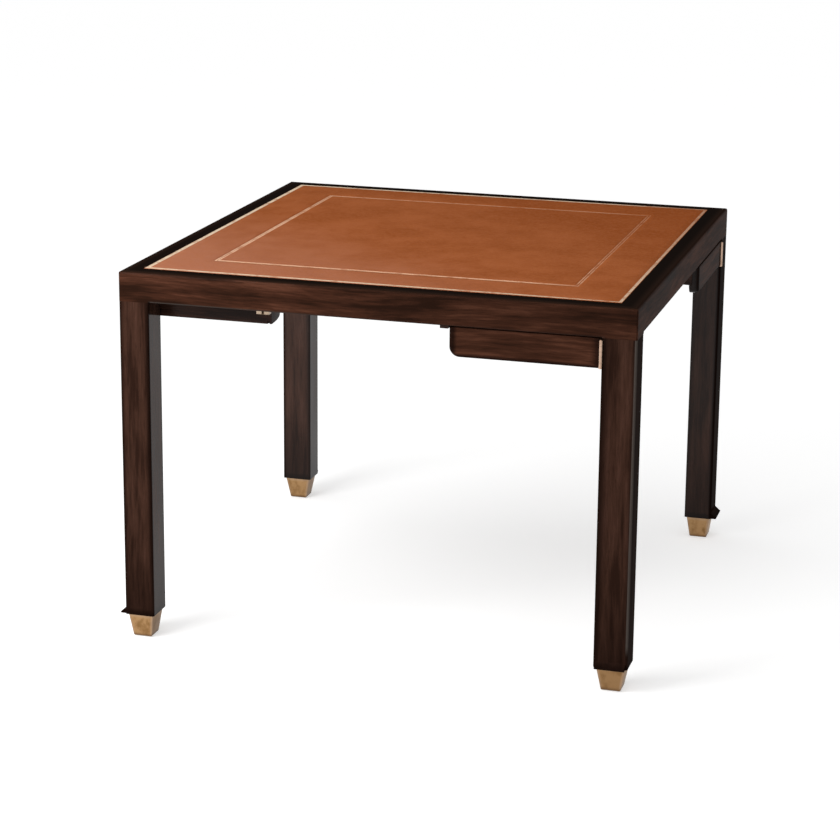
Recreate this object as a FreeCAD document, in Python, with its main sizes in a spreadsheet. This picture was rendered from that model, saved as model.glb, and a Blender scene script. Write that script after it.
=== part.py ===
import FreeCAD, Part
import math
import os
import Sketcher

# Square mahjong table with a leather top and four quarter-round drawers that swing out of
# the aprons. Millimetres, +Z up, origin on the floor under the middle of the table.
# One side is drawn for the front; the other three are the same side a quarter turn on.

os.makedirs("parts", exist_ok=True)
doc = FreeCAD.newDocument("mahjong_table")

UP = FreeCAD.Vector(0, 0, 1)
ALONG_X = FreeCAD.Vector(1, 0, 0)
SIDES = ("front", "right", "back", "left")
LEG_NAMES = ("front_right", "back_right", "back_left", "front_left")

DRIVING_SIZES = {
    # overall
    "table_width": 1016,
    "table_height": 750,
    # top: leather on a panel, held between the rails
    "leather_proud": 1,
    "leather_thick": 1.8,
    "leather_round": 0.8,
    "panel_thick": 18,
    "panel_play": 0.2,
    # rails: their top edges are the border of the top
    "rail_thick": 38,
    "rail_height": 59,
    "rail_top_round": 5,
    "rail_low_round": 5,
    "corner_cut": 2.5,
    "block_reach": 70,
    "block_tip": 14,
    "bearer_size": 20,
    # legs, toes and sabots
    "leg_width": 66,
    "leg_depth": 60,
    "leg_round": 4,
    "tenon_size": 22,
    "tenon_inset": 10,
    "tenon_length": 40,
    "joint_play": 0.1,
    "toe_reach": 12,
    "toe_rise": 13,
    "toe_lip": 2.5,
    "toe_nose": 1.5,
    "toe_inset": 4,
    "sabot_height": 50,
    "sabot_wide": 57,
    "sabot_deep": 51,
    "sabot_foot": 38,
    "sabot_cut": 3,
    "spigot_size": 24,
    "spigot_length": 34,
    "glide_radius": 10,
    "glide_thick": 4,
    "glide_proud": 1.5,
    # drawers
    "drawer_radius": 288,
    "front_thick": 20,
    "front_height": 57.5,
    "front_gap": 1.5,
    "front_drop": 19,
    "front_corner": 20,
    "front_round": 8,
    "front_top_round": 2,
    "front_spare": 0.5,
    "wall_thick": 10,
    "wall_height": 32.5,
    "bend_thick": 8,
    "lap_depth": 6.4,
    "floor_thick": 5,
    "floor_lap": 4,
    "felt_thick": 1.5,
    "fit_gap": 0.2,
    # cover boards over the drawers
    "cover_thick": 6,
    "cover_margin": 10,
    "cover_clear": 1,
    "ear_lap": 9.4,
    "cover_side": 2,
    "nose_gap": 2.5,
    "nose_width": 16,
    "nose_lap": 10,
    # hinges
    "hinge_gap": 1.6,
    "hinge_length": 53,
    "hinge_low": 1.5,
    "barrel_radius": 3.5,
    "barrel_relief": 0.4,
    "pin_radius": 1.5,
    "pin_play": 0.05,
    "pin_grip": 0.01,
    "pin_head_radius": 2.4,
    "pin_head_thick": 0.8,
    "leaf_thick": 1.6,
    "leaf_width": 19,
    "knuckle_gap": 0.3,
    # catches: two arms under the cover board, a tongue on the drawer wall
    "tongue_end": 3,
    "catch_width": 26,
    "catch_slot": 5,
    "catch_height": 12,
    "catch_roof": 2.4,
    "catch_back": 14,
    "catch_face": 2,
    "ball_radius": 1.6,
    "ball_sunk": 0.6,
    "strike_width": 20,
    "strike_end": 2,
    "strike_height": 14,
    "strike_thick": 1.2,
    "strike_drop": 1,
    "tongue_thick": 2.2,
    "tongue_length": 8,
    "tongue_height": 6,
    # countersunk screws
    "screw_radius": 1.4,
    "screw_head": 2.8,
    "screw_sink": 1.5,
    "screw_play": 0.05,
    "leaf_screw_length": 14,
    "cover_screw_length": 18,
    "catch_screw_length": 16,
    "strike_screw_length": 8,
    "leaf_screw_in": 11.5,
    "leaf_screw_end": 16,
    "cover_screw_in": 30,
    "cover_screw_near": 45,
    "cover_screw_mid": 150,
    "cover_screw_far": 255,
    "ear_screw_lap": 4.9,
    "ear_screw_near": 110,
    "ear_screw_far": 235,
    "catch_screw_spread": 7.75,
    "strike_screw_edge": 3.5,
    "strike_screw_gap": 8,
    "catch_screw_out": 6,
}

DERIVED_SIZES = {
    # levels above the floor
    "frame_top": "table_height - leather_proud",
    "rail_bottom": "frame_top - rail_height",
    "leather_bottom": "table_height - leather_thick",
    "panel_bottom": "leather_bottom - panel_thick",
    "bearer_bottom": "panel_bottom - bearer_size",
    "front_bottom": "rail_bottom - front_gap - front_height",
    # plan of the frame
    "half_width": "table_width / 2",
    "inner_half": "half_width - rail_thick",
    "panel_half": "inner_half - panel_play",
    "panel_size": "2 * panel_half",
    "bearer_half": "inner_half - block_reach",
    "bearer_length": "2 * bearer_half",
    "block_height": "panel_bottom - rail_bottom",
    # a rail, from its left end and its outer face
    "cut_mid": "corner_cut / 2",
    "rail_end_cut": "table_width - corner_cut",
    "rail_end_mid": "table_width - cut_mid",
    "rail_end_in": "table_width - rail_thick",
    "rail_open": "table_width - leg_width - leg_depth",
    "mortise_near": "tenon_inset - joint_play",
    "mortise_far": "tenon_inset + tenon_size + joint_play",
    "mortise_end_near": "table_width - mortise_near",
    "mortise_end_far": "table_width - mortise_far",
    "mortise_depth": "tenon_length + 2 * joint_play",
    "rail_bore_near": "half_width + hinge_x - cover_screw_near",
    "rail_bore_mid": "half_width + hinge_x - cover_screw_mid",
    "rail_bore_far": "half_width + hinge_x - cover_screw_far",
    "rail_ear_bore": "rail_thick - ear_screw_lap",
    # a leg, from the tip of its toe and its other outer face
    "leg_length": "rail_bottom - sabot_height",
    "leg_far": "toe_reach + leg_depth",
    "tenon_near": "toe_reach + tenon_inset",
    "tenon_far": "tenon_near + tenon_size",
    "tenon_side": "tenon_inset + tenon_size",
    "spigot_side": "(leg_width - spigot_size) / 2",
    "spigot_side_far": "spigot_side + spigot_size",
    "spigot_near": "toe_reach + (leg_depth - spigot_size) / 2",
    "spigot_far": "spigot_near + spigot_size",
    "toe_root": "toe_reach + leg_round + 1",
    "toe_span": "leg_width - 2 * toe_inset",
    "leg_front_setback": "half_width + toe_reach",
    "leg_hinge_axis": "leg_width + hinge_gap",
    "leg_leaf_floor": "leg_width - leaf_thick",
    "leg_hinge_low": "front_bottom + hinge_low - sabot_height",
    "leg_screw_in": "toe_reach + leaf_screw_in",
    "leg_screw_low": "leg_hinge_low + leaf_screw_end",
    "leg_screw_high": "leg_hinge_low + hinge_length - leaf_screw_end",
    # a sabot, from the corner of its top
    "sabot_side_at": "half_width - (leg_width - sabot_wide) / 2",
    "sabot_front_at": "half_width - (leg_depth - sabot_deep) / 2",
    "sabot_rise": "sabot_height - glide_proud",
    "deep_cut_far": "sabot_deep - sabot_cut",
    "wide_cut_far": "sabot_wide - sabot_cut",
    "foot_deep_near": "(sabot_deep - sabot_foot) / 2",
    "foot_deep_far": "foot_deep_near + sabot_foot",
    "foot_deep_cut_near": "foot_deep_near + sabot_cut",
    "foot_deep_cut_far": "foot_deep_far - sabot_cut",
    "foot_wide_near": "(sabot_wide - sabot_foot) / 2",
    "foot_wide_far": "foot_wide_near + sabot_foot",
    "foot_wide_cut_near": "foot_wide_near + sabot_cut",
    "foot_wide_cut_far": "foot_wide_far - sabot_cut",
    "socket_deep_near": "(sabot_deep - spigot_size) / 2 - joint_play",
    "socket_deep_far": "(sabot_deep + spigot_size) / 2 + joint_play",
    "socket_wide_near": "(sabot_wide - spigot_size) / 2 - joint_play",
    "socket_wide_far": "(sabot_wide + spigot_size) / 2 + joint_play",
    "socket_depth": "spigot_length + 5 * joint_play",
    "sabot_deep_middle": "sabot_deep / 2",
    "sabot_wide_middle": "sabot_wide / 2",
    "glide_seat": "glide_thick - glide_proud",
    "glide_bore": "glide_radius + joint_play",
    "glide_side_at": "half_width - leg_width / 2",
    "glide_front_at": "half_width - leg_depth / 2",
    # a drawer, from its hinge axis and the lower edge of its front
    "hinge_x": "half_width - leg_width - hinge_gap",
    "front_reach": "drawer_radius + front_spare",
    "lap_floor": "front_thick - lap_depth + fit_gap",
    "lap_edge": "sqrt(bend_in ^ 2 - front_thick ^ 2) - fit_gap / 2",
    "floor_top": "front_drop + floor_thick",
    "box_top": "front_drop + wall_height",
    "wall_lip": "wall_thick - floor_lap",
    "bend_in": "drawer_radius - bend_thick",
    "bend_lip": "bend_in + floor_lap",
    "bend_angle": "90deg - asin(lap_floor / bend_in)",
    "wall_run": "bend_in - front_thick - 1.5 * fit_gap",
    "floor_side": "wall_lip + fit_gap",
    "floor_radius": "bend_lip - fit_gap",
    "felt_front": "front_thick + fit_gap",
    "felt_side": "wall_thick + fit_gap",
    "felt_radius": "bend_in - fit_gap",
    # a cover board
    "cover_level": "front_height + front_gap - cover_thick",
    "cover_front": "front_thick + cover_clear",
    "cover_notch": "leg_depth + 2 * cover_clear",
    "cover_radius": "drawer_radius + cover_margin",
    "nose_near": "front_reach + nose_gap",
    "nose_front": "rail_low_round + cover_clear",
    "nose_depth": "cover_front + nose_lap - nose_front",
    "cover_ear": "leg_width + hinge_gap - rail_thick + ear_lap",
    "ear_screw_out": "leg_width + hinge_gap - rail_thick + ear_screw_lap",
    # hinge
    "relief_radius": "barrel_radius + barrel_relief",
    "leaf_seat": "leaf_width + joint_play",
    "moving_bore": "pin_radius + pin_play",
    "fixed_bore": "pin_radius + pin_grip",
    "fixed_leaf_back": "hinge_gap + leaf_thick",
    "knuckle_length": "(hinge_length - 4 * knuckle_gap) / 5",
    "knuckle_second": "knuckle_length + knuckle_gap",
    "knuckle_third": "2 * knuckle_second",
    "knuckle_fourth": "3 * knuckle_second",
    "knuckle_fifth": "4 * knuckle_second",
    "pin_length": "hinge_length + 2 * pin_head_thick",
    "pin_low": "hinge_low - pin_head_thick",
    "pin_head_high": "hinge_low + hinge_length",
    "leaf_screw_high": "hinge_length - leaf_screw_end",
    "door_screw_low": "hinge_low + leaf_screw_end",
    "door_screw_high": "hinge_low + leaf_screw_high",
    # catch and strike
    "catch_low": "cover_level - catch_height",
    "catch_middle": "strike_far - tongue_end",
    "catch_near": "catch_middle - catch_width / 2",
    "catch_far": "catch_middle + catch_width / 2",
    "slot_near": "catch_middle - catch_slot / 2",
    "slot_far": "catch_middle + catch_slot / 2",
    "catch_depth": "catch_back - catch_face",
    "slot_height": "catch_height - catch_roof",
    "ball_near": "slot_near - ball_sunk",
    "ball_far": "slot_far + ball_sunk",
    "ball_level": "catch_low + catch_height / 2",
    "catch_screw_near": "catch_middle - catch_screw_spread",
    "catch_screw_far": "catch_middle + catch_screw_spread",
    "strike_far": "bend_in - strike_end",
    "strike_near": "strike_far - strike_width",
    "strike_top": "box_top - strike_drop",
    "strike_low": "strike_top - strike_height",
    "strike_level": "strike_low + strike_height / 2",
    "strike_screw_near": "strike_near + strike_screw_edge",
    "strike_screw_far": "strike_screw_near + strike_screw_gap",
    "tongue_near": "catch_middle - tongue_thick / 2",
    "tongue_root": "tongue_length + strike_thick / 2",
    "tongue_low": "ball_level - tongue_height / 2",
    # screws
    "screw_bore": "screw_radius + screw_play",
    "screw_head_bore": "screw_head + screw_play",
}

sheet = doc.addObject("Spreadsheet::Sheet", "Sizes")
ROWS = list(DRIVING_SIZES.items()) + list(DERIVED_SIZES.items())
for row, (alias, content) in enumerate(ROWS, start=1):
    sheet.set(f"A{row}", alias)
    sheet.setAlias(f"B{row}", alias)
for row, (alias, content) in enumerate(ROWS, start=1):
    sheet.set(f"B{row}", f"={content}" if alias in DERIVED_SIZES else str(content))
doc.recompute()


def size(name):
    """Number for a size name; a leading minus turns it round, "0" is the origin."""
    if name == "0":
        return 0.0
    if name.startswith("-"):
        return -size(name[1:])
    cell = sheet.get(name)
    return float(getattr(cell, "Value", cell))


def formula(name):
    """Expression for a size name, for a property that follows the size table."""
    if name == "0":
        return "0"
    if name.startswith("-"):
        return f"-Sizes.{name[1:]}"
    return f"Sizes.{name}"


def turned(name):
    """The same size measured the other way."""
    if name == "0":
        return name
    return name[1:] if name.startswith("-") else f"-{name}"


def set_base(thing, x, y, z):
    """Bind the position of a piece or feature to named sizes."""
    for axis, name in (("x", x), ("y", y), ("z", z)):
        thing.setExpression(f"Placement.Base.{axis}", formula(name))


def place(thing, side, x, y, z, turn=0):
    """Put a piece that is drawn for the front on one of the four sides."""
    across, along = ((x, y), (turned(y), x), (turned(x), turned(y)), (y, turned(x)))[side]
    thing.Placement = FreeCAD.Placement(FreeCAD.Vector(), FreeCAD.Rotation(UP, 90 * side + turn))
    set_base(thing, across, along, z)


def hang(thing, side):
    """Put a drawer piece on its side: X runs inward and Y from the hinge to the free end."""
    place(thing, side, "hinge_x", "-half_width", "front_bottom", turn=90)


def new_body(name):
    body = doc.addObject("PartDesign::Body", name)
    body.Label = name
    return body


def new_sketch(body, role, level):
    plane = next(item for item in body.Origin.OriginFeatures if item.Role == role)
    sketch = body.newObject("Sketcher::SketchObject", f"{body.Name}_outline")
    sketch.AttachmentSupport = [(plane, "")]
    sketch.MapMode = "FlatFace"
    sketch.setExpression("AttachmentOffset.Base.z", formula(level))
    return sketch


def pin_corner(sketch, line, x, y):
    """Hold the first point of a line at named distances from the sketch origin."""
    for kind, axis, name in (("DistanceX", -2, x), ("DistanceY", -1, y)):
        if name is None:
            continue
        if name == "0":
            sketch.addConstraint(Sketcher.Constraint("PointOnObject", line, 1, axis))
            continue
        ends = (line, 1, -1, 1) if name.startswith("-") else (-1, 1, line, 1)
        number = sketch.addConstraint(Sketcher.Constraint(kind, *ends, abs(size(name))))
        sketch.setExpression(f"Constraints[{number}]", formula(name.lstrip("-")))


def polygon(body, role, corners, level="0"):
    """Closed outline through corners given as pairs of size names."""
    sketch = new_sketch(body, role, level)
    points = [FreeCAD.Vector(size(x), size(y), 0) for x, y in corners]
    count = len(points)
    for index in range(count):
        sketch.addGeometry(Part.LineSegment(points[index], points[(index + 1) % count]))
    for index in range(count):
        sketch.addConstraint(Sketcher.Constraint("Coincident", index, 2, (index + 1) % count, 1))
    for index, (x, y) in enumerate(corners):
        pin_corner(sketch, index, x, y)
    return sketch


def sector(body, corners, radius, level):
    """Outline closed by an arc about the hinge axis, from the last corner back to the first.

    The first corner has no y and the last no x: they lie on the arc.
    """
    sketch = new_sketch(body, "XY_Plane", level)
    reach = size(radius)
    points = []
    for x, y in corners:
        if y is None:
            points.append(FreeCAD.Vector(size(x), math.sqrt(reach ** 2 - size(x) ** 2), 0))
        elif x is None:
            points.append(FreeCAD.Vector(math.sqrt(reach ** 2 - size(y) ** 2), size(y), 0))
        else:
            points.append(FreeCAD.Vector(size(x), size(y), 0))
    last = len(points) - 1
    for index in range(last):
        sketch.addGeometry(Part.LineSegment(points[index], points[index + 1]))
    circle = Part.Circle(FreeCAD.Vector(), UP, reach)
    start = math.atan2(points[last].y, points[last].x)
    end = math.atan2(points[0].y, points[0].x)
    arc = sketch.addGeometry(Part.ArcOfCircle(circle, start, end))
    for index in range(last - 1):
        sketch.addConstraint(Sketcher.Constraint("Coincident", index, 2, index + 1, 1))
    sketch.addConstraint(Sketcher.Constraint("Coincident", last - 1, 2, arc, 1))
    sketch.addConstraint(Sketcher.Constraint("Coincident", arc, 2, 0, 1))
    sketch.addConstraint(Sketcher.Constraint("Coincident", arc, 3, -1, 1))
    number = sketch.addConstraint(Sketcher.Constraint("Radius", arc, reach))
    sketch.setExpression(f"Constraints[{number}]", formula(radius))
    for index, (x, y) in enumerate(corners[:last]):
        pin_corner(sketch, index, x, y)
    sketch.addConstraint(Sketcher.Constraint("Horizontal", last - 1))
    return sketch


def corner_waste(body, role, radius, level):
    """Outline of what comes off a square edge at the sketch origin when it is rounded."""
    sketch = new_sketch(body, role, level)
    reach = size(radius)
    corner = FreeCAD.Vector()
    sketch.addGeometry(Part.LineSegment(corner, FreeCAD.Vector(reach, 0, 0)))
    sketch.addGeometry(Part.LineSegment(FreeCAD.Vector(0, reach, 0), corner))
    circle = Part.Circle(FreeCAD.Vector(reach, reach, 0), UP, reach)
    arc = sketch.addGeometry(Part.ArcOfCircle(circle, math.pi, 1.5 * math.pi))
    sketch.addConstraint(Sketcher.Constraint("Coincident", 0, 1, -1, 1))
    sketch.addConstraint(Sketcher.Constraint("Coincident", 1, 2, 0, 1))
    sketch.addConstraint(Sketcher.Constraint("Horizontal", 0))
    sketch.addConstraint(Sketcher.Constraint("Vertical", 1))
    sketch.addConstraint(Sketcher.Constraint("Tangent", 0, 2, arc, 2))
    sketch.addConstraint(Sketcher.Constraint("Tangent", 1, 1, arc, 1))
    number = sketch.addConstraint(Sketcher.Constraint("Radius", arc, reach))
    sketch.setExpression(f"Constraints[{number}]", formula(radius))
    return sketch


def pad(body, sketch, length, backward=False):
    feature = body.newObject("PartDesign::Pad", f"{body.Name}_pad")
    feature.Profile = sketch
    feature.setExpression("Length", formula(length))
    feature.Reversed = backward
    return feature


def pocket(body, sketch, depth, backward=False):
    feature = body.newObject("PartDesign::Pocket", f"{body.Name}_pocket")
    feature.Profile = sketch
    feature.setExpression("Length", formula(depth))
    feature.Reversed = backward
    return feature


def fillet(body, radius, chosen):
    """Round the edges of the body whose bounding box passes the test."""
    doc.recompute()
    base = body.Tip
    numbered = enumerate(base.Shape.Edges, start=1)
    names = [f"Edge{number}" for number, edge in numbered if chosen(edge.BoundBox)]
    feature = body.newObject("PartDesign::Fillet", f"{body.Name}_round")
    feature.Base = (base, names)
    feature.setExpression("Radius", formula(radius))
    return feature


def is_at(value, name):
    return abs(value - size(name)) < 0.01


def primitive(body, kind, x, y, z, turn=None, **sizes):
    """Add or cut a primitive shape at a named position."""
    feature = body.newObject(f"PartDesign::{kind}", f"{body.Name}_{kind}")
    if turn is not None:
        feature.Placement = FreeCAD.Placement(FreeCAD.Vector(), turn)
    for key, name in sizes.items():
        feature.setExpression(key, formula(name))
    set_base(feature, x, y, z)
    return feature


# directions a screw can point, from its head to its tip
TOWARD_FREE_END = FreeCAD.Rotation(ALONG_X, -90)
TOWARD_LEG = FreeCAD.Rotation(ALONG_X, 90)
UPWARD = FreeCAD.Rotation()


def bore(body, x, y, z, direction, depth):
    """Pilot hole for a screw."""
    primitive(body, "SubtractiveCylinder", x, y, z, direction, Radius="screw_bore", Height=depth)


def countersink(body, x, y, z, direction, depth):
    """Hole for a screw with a seat for its head."""
    primitive(body, "SubtractiveCone", x, y, z, direction,
              Radius1="screw_head_bore", Radius2="screw_bore", Height="screw_sink")
    bore(body, x, y, z, direction, depth)


def screw(name, x, y, z, direction, length):
    """Countersunk screw with the middle of its head at the given point."""
    shank = doc.addObject("Part::Cylinder", f"{name}_shank")
    head = doc.addObject("Part::Cone", f"{name}_head")
    shank.setExpression("Radius", formula("screw_radius"))
    shank.setExpression("Height", formula(length))
    head.setExpression("Radius1", formula("screw_head"))
    head.setExpression("Radius2", formula("screw_radius"))
    head.setExpression("Height", formula("screw_sink"))
    for item in (shank, head):
        item.Placement = FreeCAD.Placement(FreeCAD.Vector(), direction)
        set_base(item, x, y, z)
    joined = doc.addObject("Part::Fuse", name)
    joined.Base = shank
    joined.Tool = head
    return joined


def group(name, members):
    compound = doc.addObject("Part::Compound", name)
    compound.Label = name
    compound.Links = members
    return compound


def block(name, length, width, height):
    box = doc.addObject("Part::Box", name)
    box.Label = name
    box.setExpression("Length", formula(length))
    box.setExpression("Width", formula(width))
    box.setExpression("Height", formula(height))
    return box


def make_top_panel():
    panel = block("top_panel", "panel_size", "panel_size", "panel_thick")
    place(panel, 0, "-panel_half", "-panel_half", "panel_bottom")
    return panel


def make_leather():
    """Leather skin over the whole panel, its upper edge softened."""
    body = new_body("leather_inset")
    corners = [("0", "0"), ("panel_size", "0"), ("panel_size", "panel_size"), ("0", "panel_size")]
    pad(body, polygon(body, "XY_Plane", corners), "leather_thick")
    fillet(body, "leather_round", lambda box: is_at(box.ZMin, "leather_thick"))
    place(body, 0, "-panel_half", "-panel_half", "leather_bottom")
    return body


def make_rail(side):
    """Apron rail with mitred ends, half a mortise in each for the leg tenons.

    The lower edge is rounded between the legs and left square where it stands on them.
    """
    body = new_body(f"apron_{SIDES[side]}")
    plan = [
        ("corner_cut", "0"),
        ("rail_end_cut", "0"),
        ("rail_end_mid", "cut_mid"),
        ("rail_end_in", "rail_thick"),
        ("rail_thick", "rail_thick"),
        ("cut_mid", "cut_mid"),
    ]
    pad(body, polygon(body, "XY_Plane", plan), "rail_height")
    fillet(body, "rail_top_round",
           lambda box: is_at(box.YMax, "0") and is_at(box.ZMin, "rail_height"))
    pocket(body, corner_waste(body, "YZ_Plane", "rail_low_round", "leg_depth"), "rail_open",
           backward=True)
    for near, far in (("mortise_near", "mortise_far"), ("mortise_end_far", "mortise_end_near")):
        mouth = [
            (near, "mortise_near"),
            (far, "mortise_near"),
            (far, "mortise_far"),
            (near, "mortise_far"),
        ]
        pocket(body, polygon(body, "XY_Plane", mouth), "mortise_depth", backward=True)
    for along in ("rail_bore_near", "rail_bore_mid", "rail_bore_far"):
        bore(body, along, "cover_screw_in", "0", UPWARD, "cover_screw_length")
    for along in ("ear_screw_near", "ear_screw_far"):
        bore(body, along, "rail_ear_bore", "0", UPWARD, "cover_screw_length")
    place(body, side, "-half_width", "-half_width", "rail_bottom")
    return body


def make_leg(side):
    """Leg, a little wider than deep, with a tenon, a spigot below, a toe lip and the hinge recess."""
    body = new_body(f"leg_{LEG_NAMES[side]}")
    post = [("toe_reach", "0"), ("leg_far", "0"), ("leg_far", "leg_width"), ("toe_reach", "leg_width")]
    pad(body, polygon(body, "XY_Plane", post), "leg_length")
    fillet(body, "leg_round", lambda box: is_at(box.ZLength, "leg_length"))
    toe = [
        ("toe_nose", "0"),
        ("toe_root", "0"),
        ("toe_root", "toe_rise"),
        ("toe_reach", "toe_rise"),
        ("0", "toe_lip"),
    ]
    pad(body, polygon(body, "XZ_Plane", toe, "-toe_inset"), "toe_span", backward=True)
    tenon = [
        ("tenon_near", "tenon_inset"),
        ("tenon_far", "tenon_inset"),
        ("tenon_far", "tenon_side"),
        ("tenon_near", "tenon_side"),
    ]
    pad(body, polygon(body, "XY_Plane", tenon, "leg_length"), "tenon_length")
    spigot = [
        ("spigot_near", "spigot_side"),
        ("spigot_far", "spigot_side"),
        ("spigot_far", "spigot_side_far"),
        ("spigot_near", "spigot_side_far"),
    ]
    pad(body, polygon(body, "XY_Plane", spigot), "spigot_length", backward=True)
    primitive(body, "SubtractiveCylinder", "toe_reach", "leg_hinge_axis", "leg_hinge_low",
              Radius="relief_radius", Height="hinge_length")
    primitive(body, "SubtractiveBox", "toe_reach", "leg_leaf_floor", "leg_hinge_low",
              Length="leaf_seat", Width="leaf_thick", Height="hinge_length")
    for level in ("leg_screw_low", "leg_screw_high"):
        bore(body, "leg_screw_in", "leg_width", level, TOWARD_LEG, "leaf_screw_length")
    place(body, side, "half_width", "-leg_front_setback", "sabot_height", turn=90)
    return body


def cut_oblong(deep, wide):
    """Oblong outline with its four corners cut off; each way gives near, two cuts and far."""
    near, cut_near, cut_far, far = deep
    low, cut_low, cut_high, high = wide
    return [
        (cut_near, low),
        (cut_far, low),
        (far, cut_low),
        (far, cut_high),
        (cut_far, high),
        (cut_near, high),
        (near, cut_high),
        (near, cut_low),
    ]


def make_sabot(side):
    """Tapered brass shoe with a socket for the leg spigot and a seat for the floor glide."""
    body = new_body(f"sabot_{LEG_NAMES[side]}")
    loft = body.newObject("PartDesign::AdditiveLoft", f"{body.Name}_loft")
    foot = cut_oblong(("foot_deep_near", "foot_deep_cut_near", "foot_deep_cut_far", "foot_deep_far"),
                      ("foot_wide_near", "foot_wide_cut_near", "foot_wide_cut_far", "foot_wide_far"))
    top = cut_oblong(("0", "sabot_cut", "deep_cut_far", "sabot_deep"),
                     ("0", "sabot_cut", "wide_cut_far", "sabot_wide"))
    loft.Profile = polygon(body, "XY_Plane", foot)
    loft.Sections = [polygon(body, "XY_Plane", top, "sabot_rise")]
    loft.Ruled = True
    socket = [
        ("socket_deep_near", "socket_wide_near"),
        ("socket_deep_far", "socket_wide_near"),
        ("socket_deep_far", "socket_wide_far"),
        ("socket_deep_near", "socket_wide_far"),
    ]
    pocket(body, polygon(body, "XY_Plane", socket, "sabot_rise"), "socket_depth")
    primitive(body, "SubtractiveCylinder", "sabot_deep_middle", "sabot_wide_middle", "0",
              Radius="glide_bore", Height="glide_seat")
    place(body, side, "sabot_side_at", "-sabot_front_at", "glide_proud", turn=90)
    return body


def make_glide(side):
    glide = doc.addObject("Part::Cylinder", f"glide_{LEG_NAMES[side]}")
    glide.setExpression("Radius", formula("glide_radius"))
    glide.setExpression("Height", formula("glide_thick"))
    place(glide, side, "glide_side_at", "-glide_front_at", "0")
    return glide


def make_corner_block(side):
    """Five-sided block glued into the corner of the frame, on top of the leg."""
    body = new_body(f"corner_block_{LEG_NAMES[side]}")
    plan = [
        ("0", "0"),
        ("block_reach", "0"),
        ("block_reach", "block_tip"),
        ("block_tip", "block_reach"),
        ("0", "block_reach"),
    ]
    pad(body, polygon(body, "XY_Plane", plan), "block_height")
    place(body, side, "inner_half", "-inner_half", "rail_bottom", turn=90)
    return body


def make_bearer(side):
    bearer = block(f"bearer_{SIDES[side]}", "bearer_length", "bearer_size", "bearer_size")
    place(bearer, side, "-bearer_half", "-inner_half", "bearer_bottom")
    return bearer


def make_cover(side):
    """Thin board screwed under two rails, covering the drawer; notched round the leg.

    A nose comes forward under the rail beside the free end of the drawer front.
    """
    body = new_body(f"drawer_cover_{SIDES[side]}")
    plan = [
        ("cover_front", None),
        ("cover_front", "cover_side"),
        ("cover_notch", "cover_side"),
        ("cover_notch", "-cover_ear"),
        (None, "-cover_ear"),
    ]
    pad(body, sector(body, plan, "cover_radius", "cover_level"), "cover_thick")
    primitive(body, "AdditiveBox", "nose_front", "nose_near", "cover_level",
              Length="nose_depth", Width="nose_width", Height="cover_thick")
    for out in ("cover_screw_near", "cover_screw_mid", "cover_screw_far"):
        countersink(body, "cover_screw_in", out, "cover_level", UPWARD, "cover_thick")
    for inward in ("ear_screw_near", "ear_screw_far"):
        countersink(body, inward, "-ear_screw_out", "cover_level", UPWARD, "cover_thick")
    for inward in ("catch_screw_near", "catch_screw_far"):
        bore(body, inward, "-catch_screw_out", "cover_level", UPWARD, "cover_thick")
    hang(body, side)
    return body


def make_catch(side):
    """Brass catch under the cover board: a roof with two arms, a ball on the inside of each."""
    body = new_body(f"ball_catch_{SIDES[side]}")
    plan = [
        ("catch_near", "-catch_back"),
        ("catch_far", "-catch_back"),
        ("catch_far", "-catch_face"),
        ("catch_near", "-catch_face"),
    ]
    pad(body, polygon(body, "XY_Plane", plan, "catch_low"), "catch_height")
    primitive(body, "SubtractiveBox", "slot_near", "-catch_back", "catch_low",
              Length="catch_slot", Width="catch_depth", Height="slot_height")
    for inward in ("ball_near", "ball_far"):
        primitive(body, "AdditiveSphere", inward, "-catch_screw_out", "ball_level",
                  Radius="ball_radius")
    for inward in ("catch_screw_near", "catch_screw_far"):
        countersink(body, inward, "-catch_screw_out", "catch_low", UPWARD, "catch_height")
    hang(body, side)
    return body


def make_strike(side):
    """Brass plate let into the drawer wall, with the tongue that enters the catch."""
    body = new_body(f"drawer_strike_{SIDES[side]}")
    plate = [
        ("strike_near", "strike_low"),
        ("strike_far", "strike_low"),
        ("strike_far", "strike_top"),
        ("strike_near", "strike_top"),
    ]
    pad(body, polygon(body, "XZ_Plane", plate), "strike_thick", backward=True)
    primitive(body, "AdditiveBox", "tongue_near", "-tongue_length", "tongue_low",
              Length="tongue_thick", Width="tongue_root", Height="tongue_height")
    for inward in ("strike_screw_near", "strike_screw_far"):
        countersink(body, inward, "0", "strike_level", TOWARD_FREE_END, "strike_screw_length")
    hang(body, side)
    return body


def make_leaf(name, axis_offset, knuckles, bore_radius, direction, outer_face):
    """Hinge leaf with its knuckles, drawn from the leaf's outer lower corner."""
    body = new_body(name)
    leaf = [
        ("relief_radius", "0"),
        ("leaf_width", "0"),
        ("leaf_width", "leaf_thick"),
        ("relief_radius", "leaf_thick"),
    ]
    pad(body, polygon(body, "XY_Plane", leaf), "hinge_length")
    for level in knuckles:
        primitive(body, "AdditiveBox", "0", "0", level,
                  Length="relief_radius", Width="leaf_thick", Height="knuckle_length")
        primitive(body, "AdditiveCylinder", "0", axis_offset, level,
                  Radius="barrel_radius", Height="knuckle_length")
    primitive(body, "SubtractiveCylinder", "0", axis_offset, "0",
              Radius=bore_radius, Height="hinge_length")
    for level in ("leaf_screw_end", "leaf_screw_high"):
        countersink(body, "leaf_screw_in", outer_face, level, direction, "leaf_screw_length")
    return body


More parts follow.
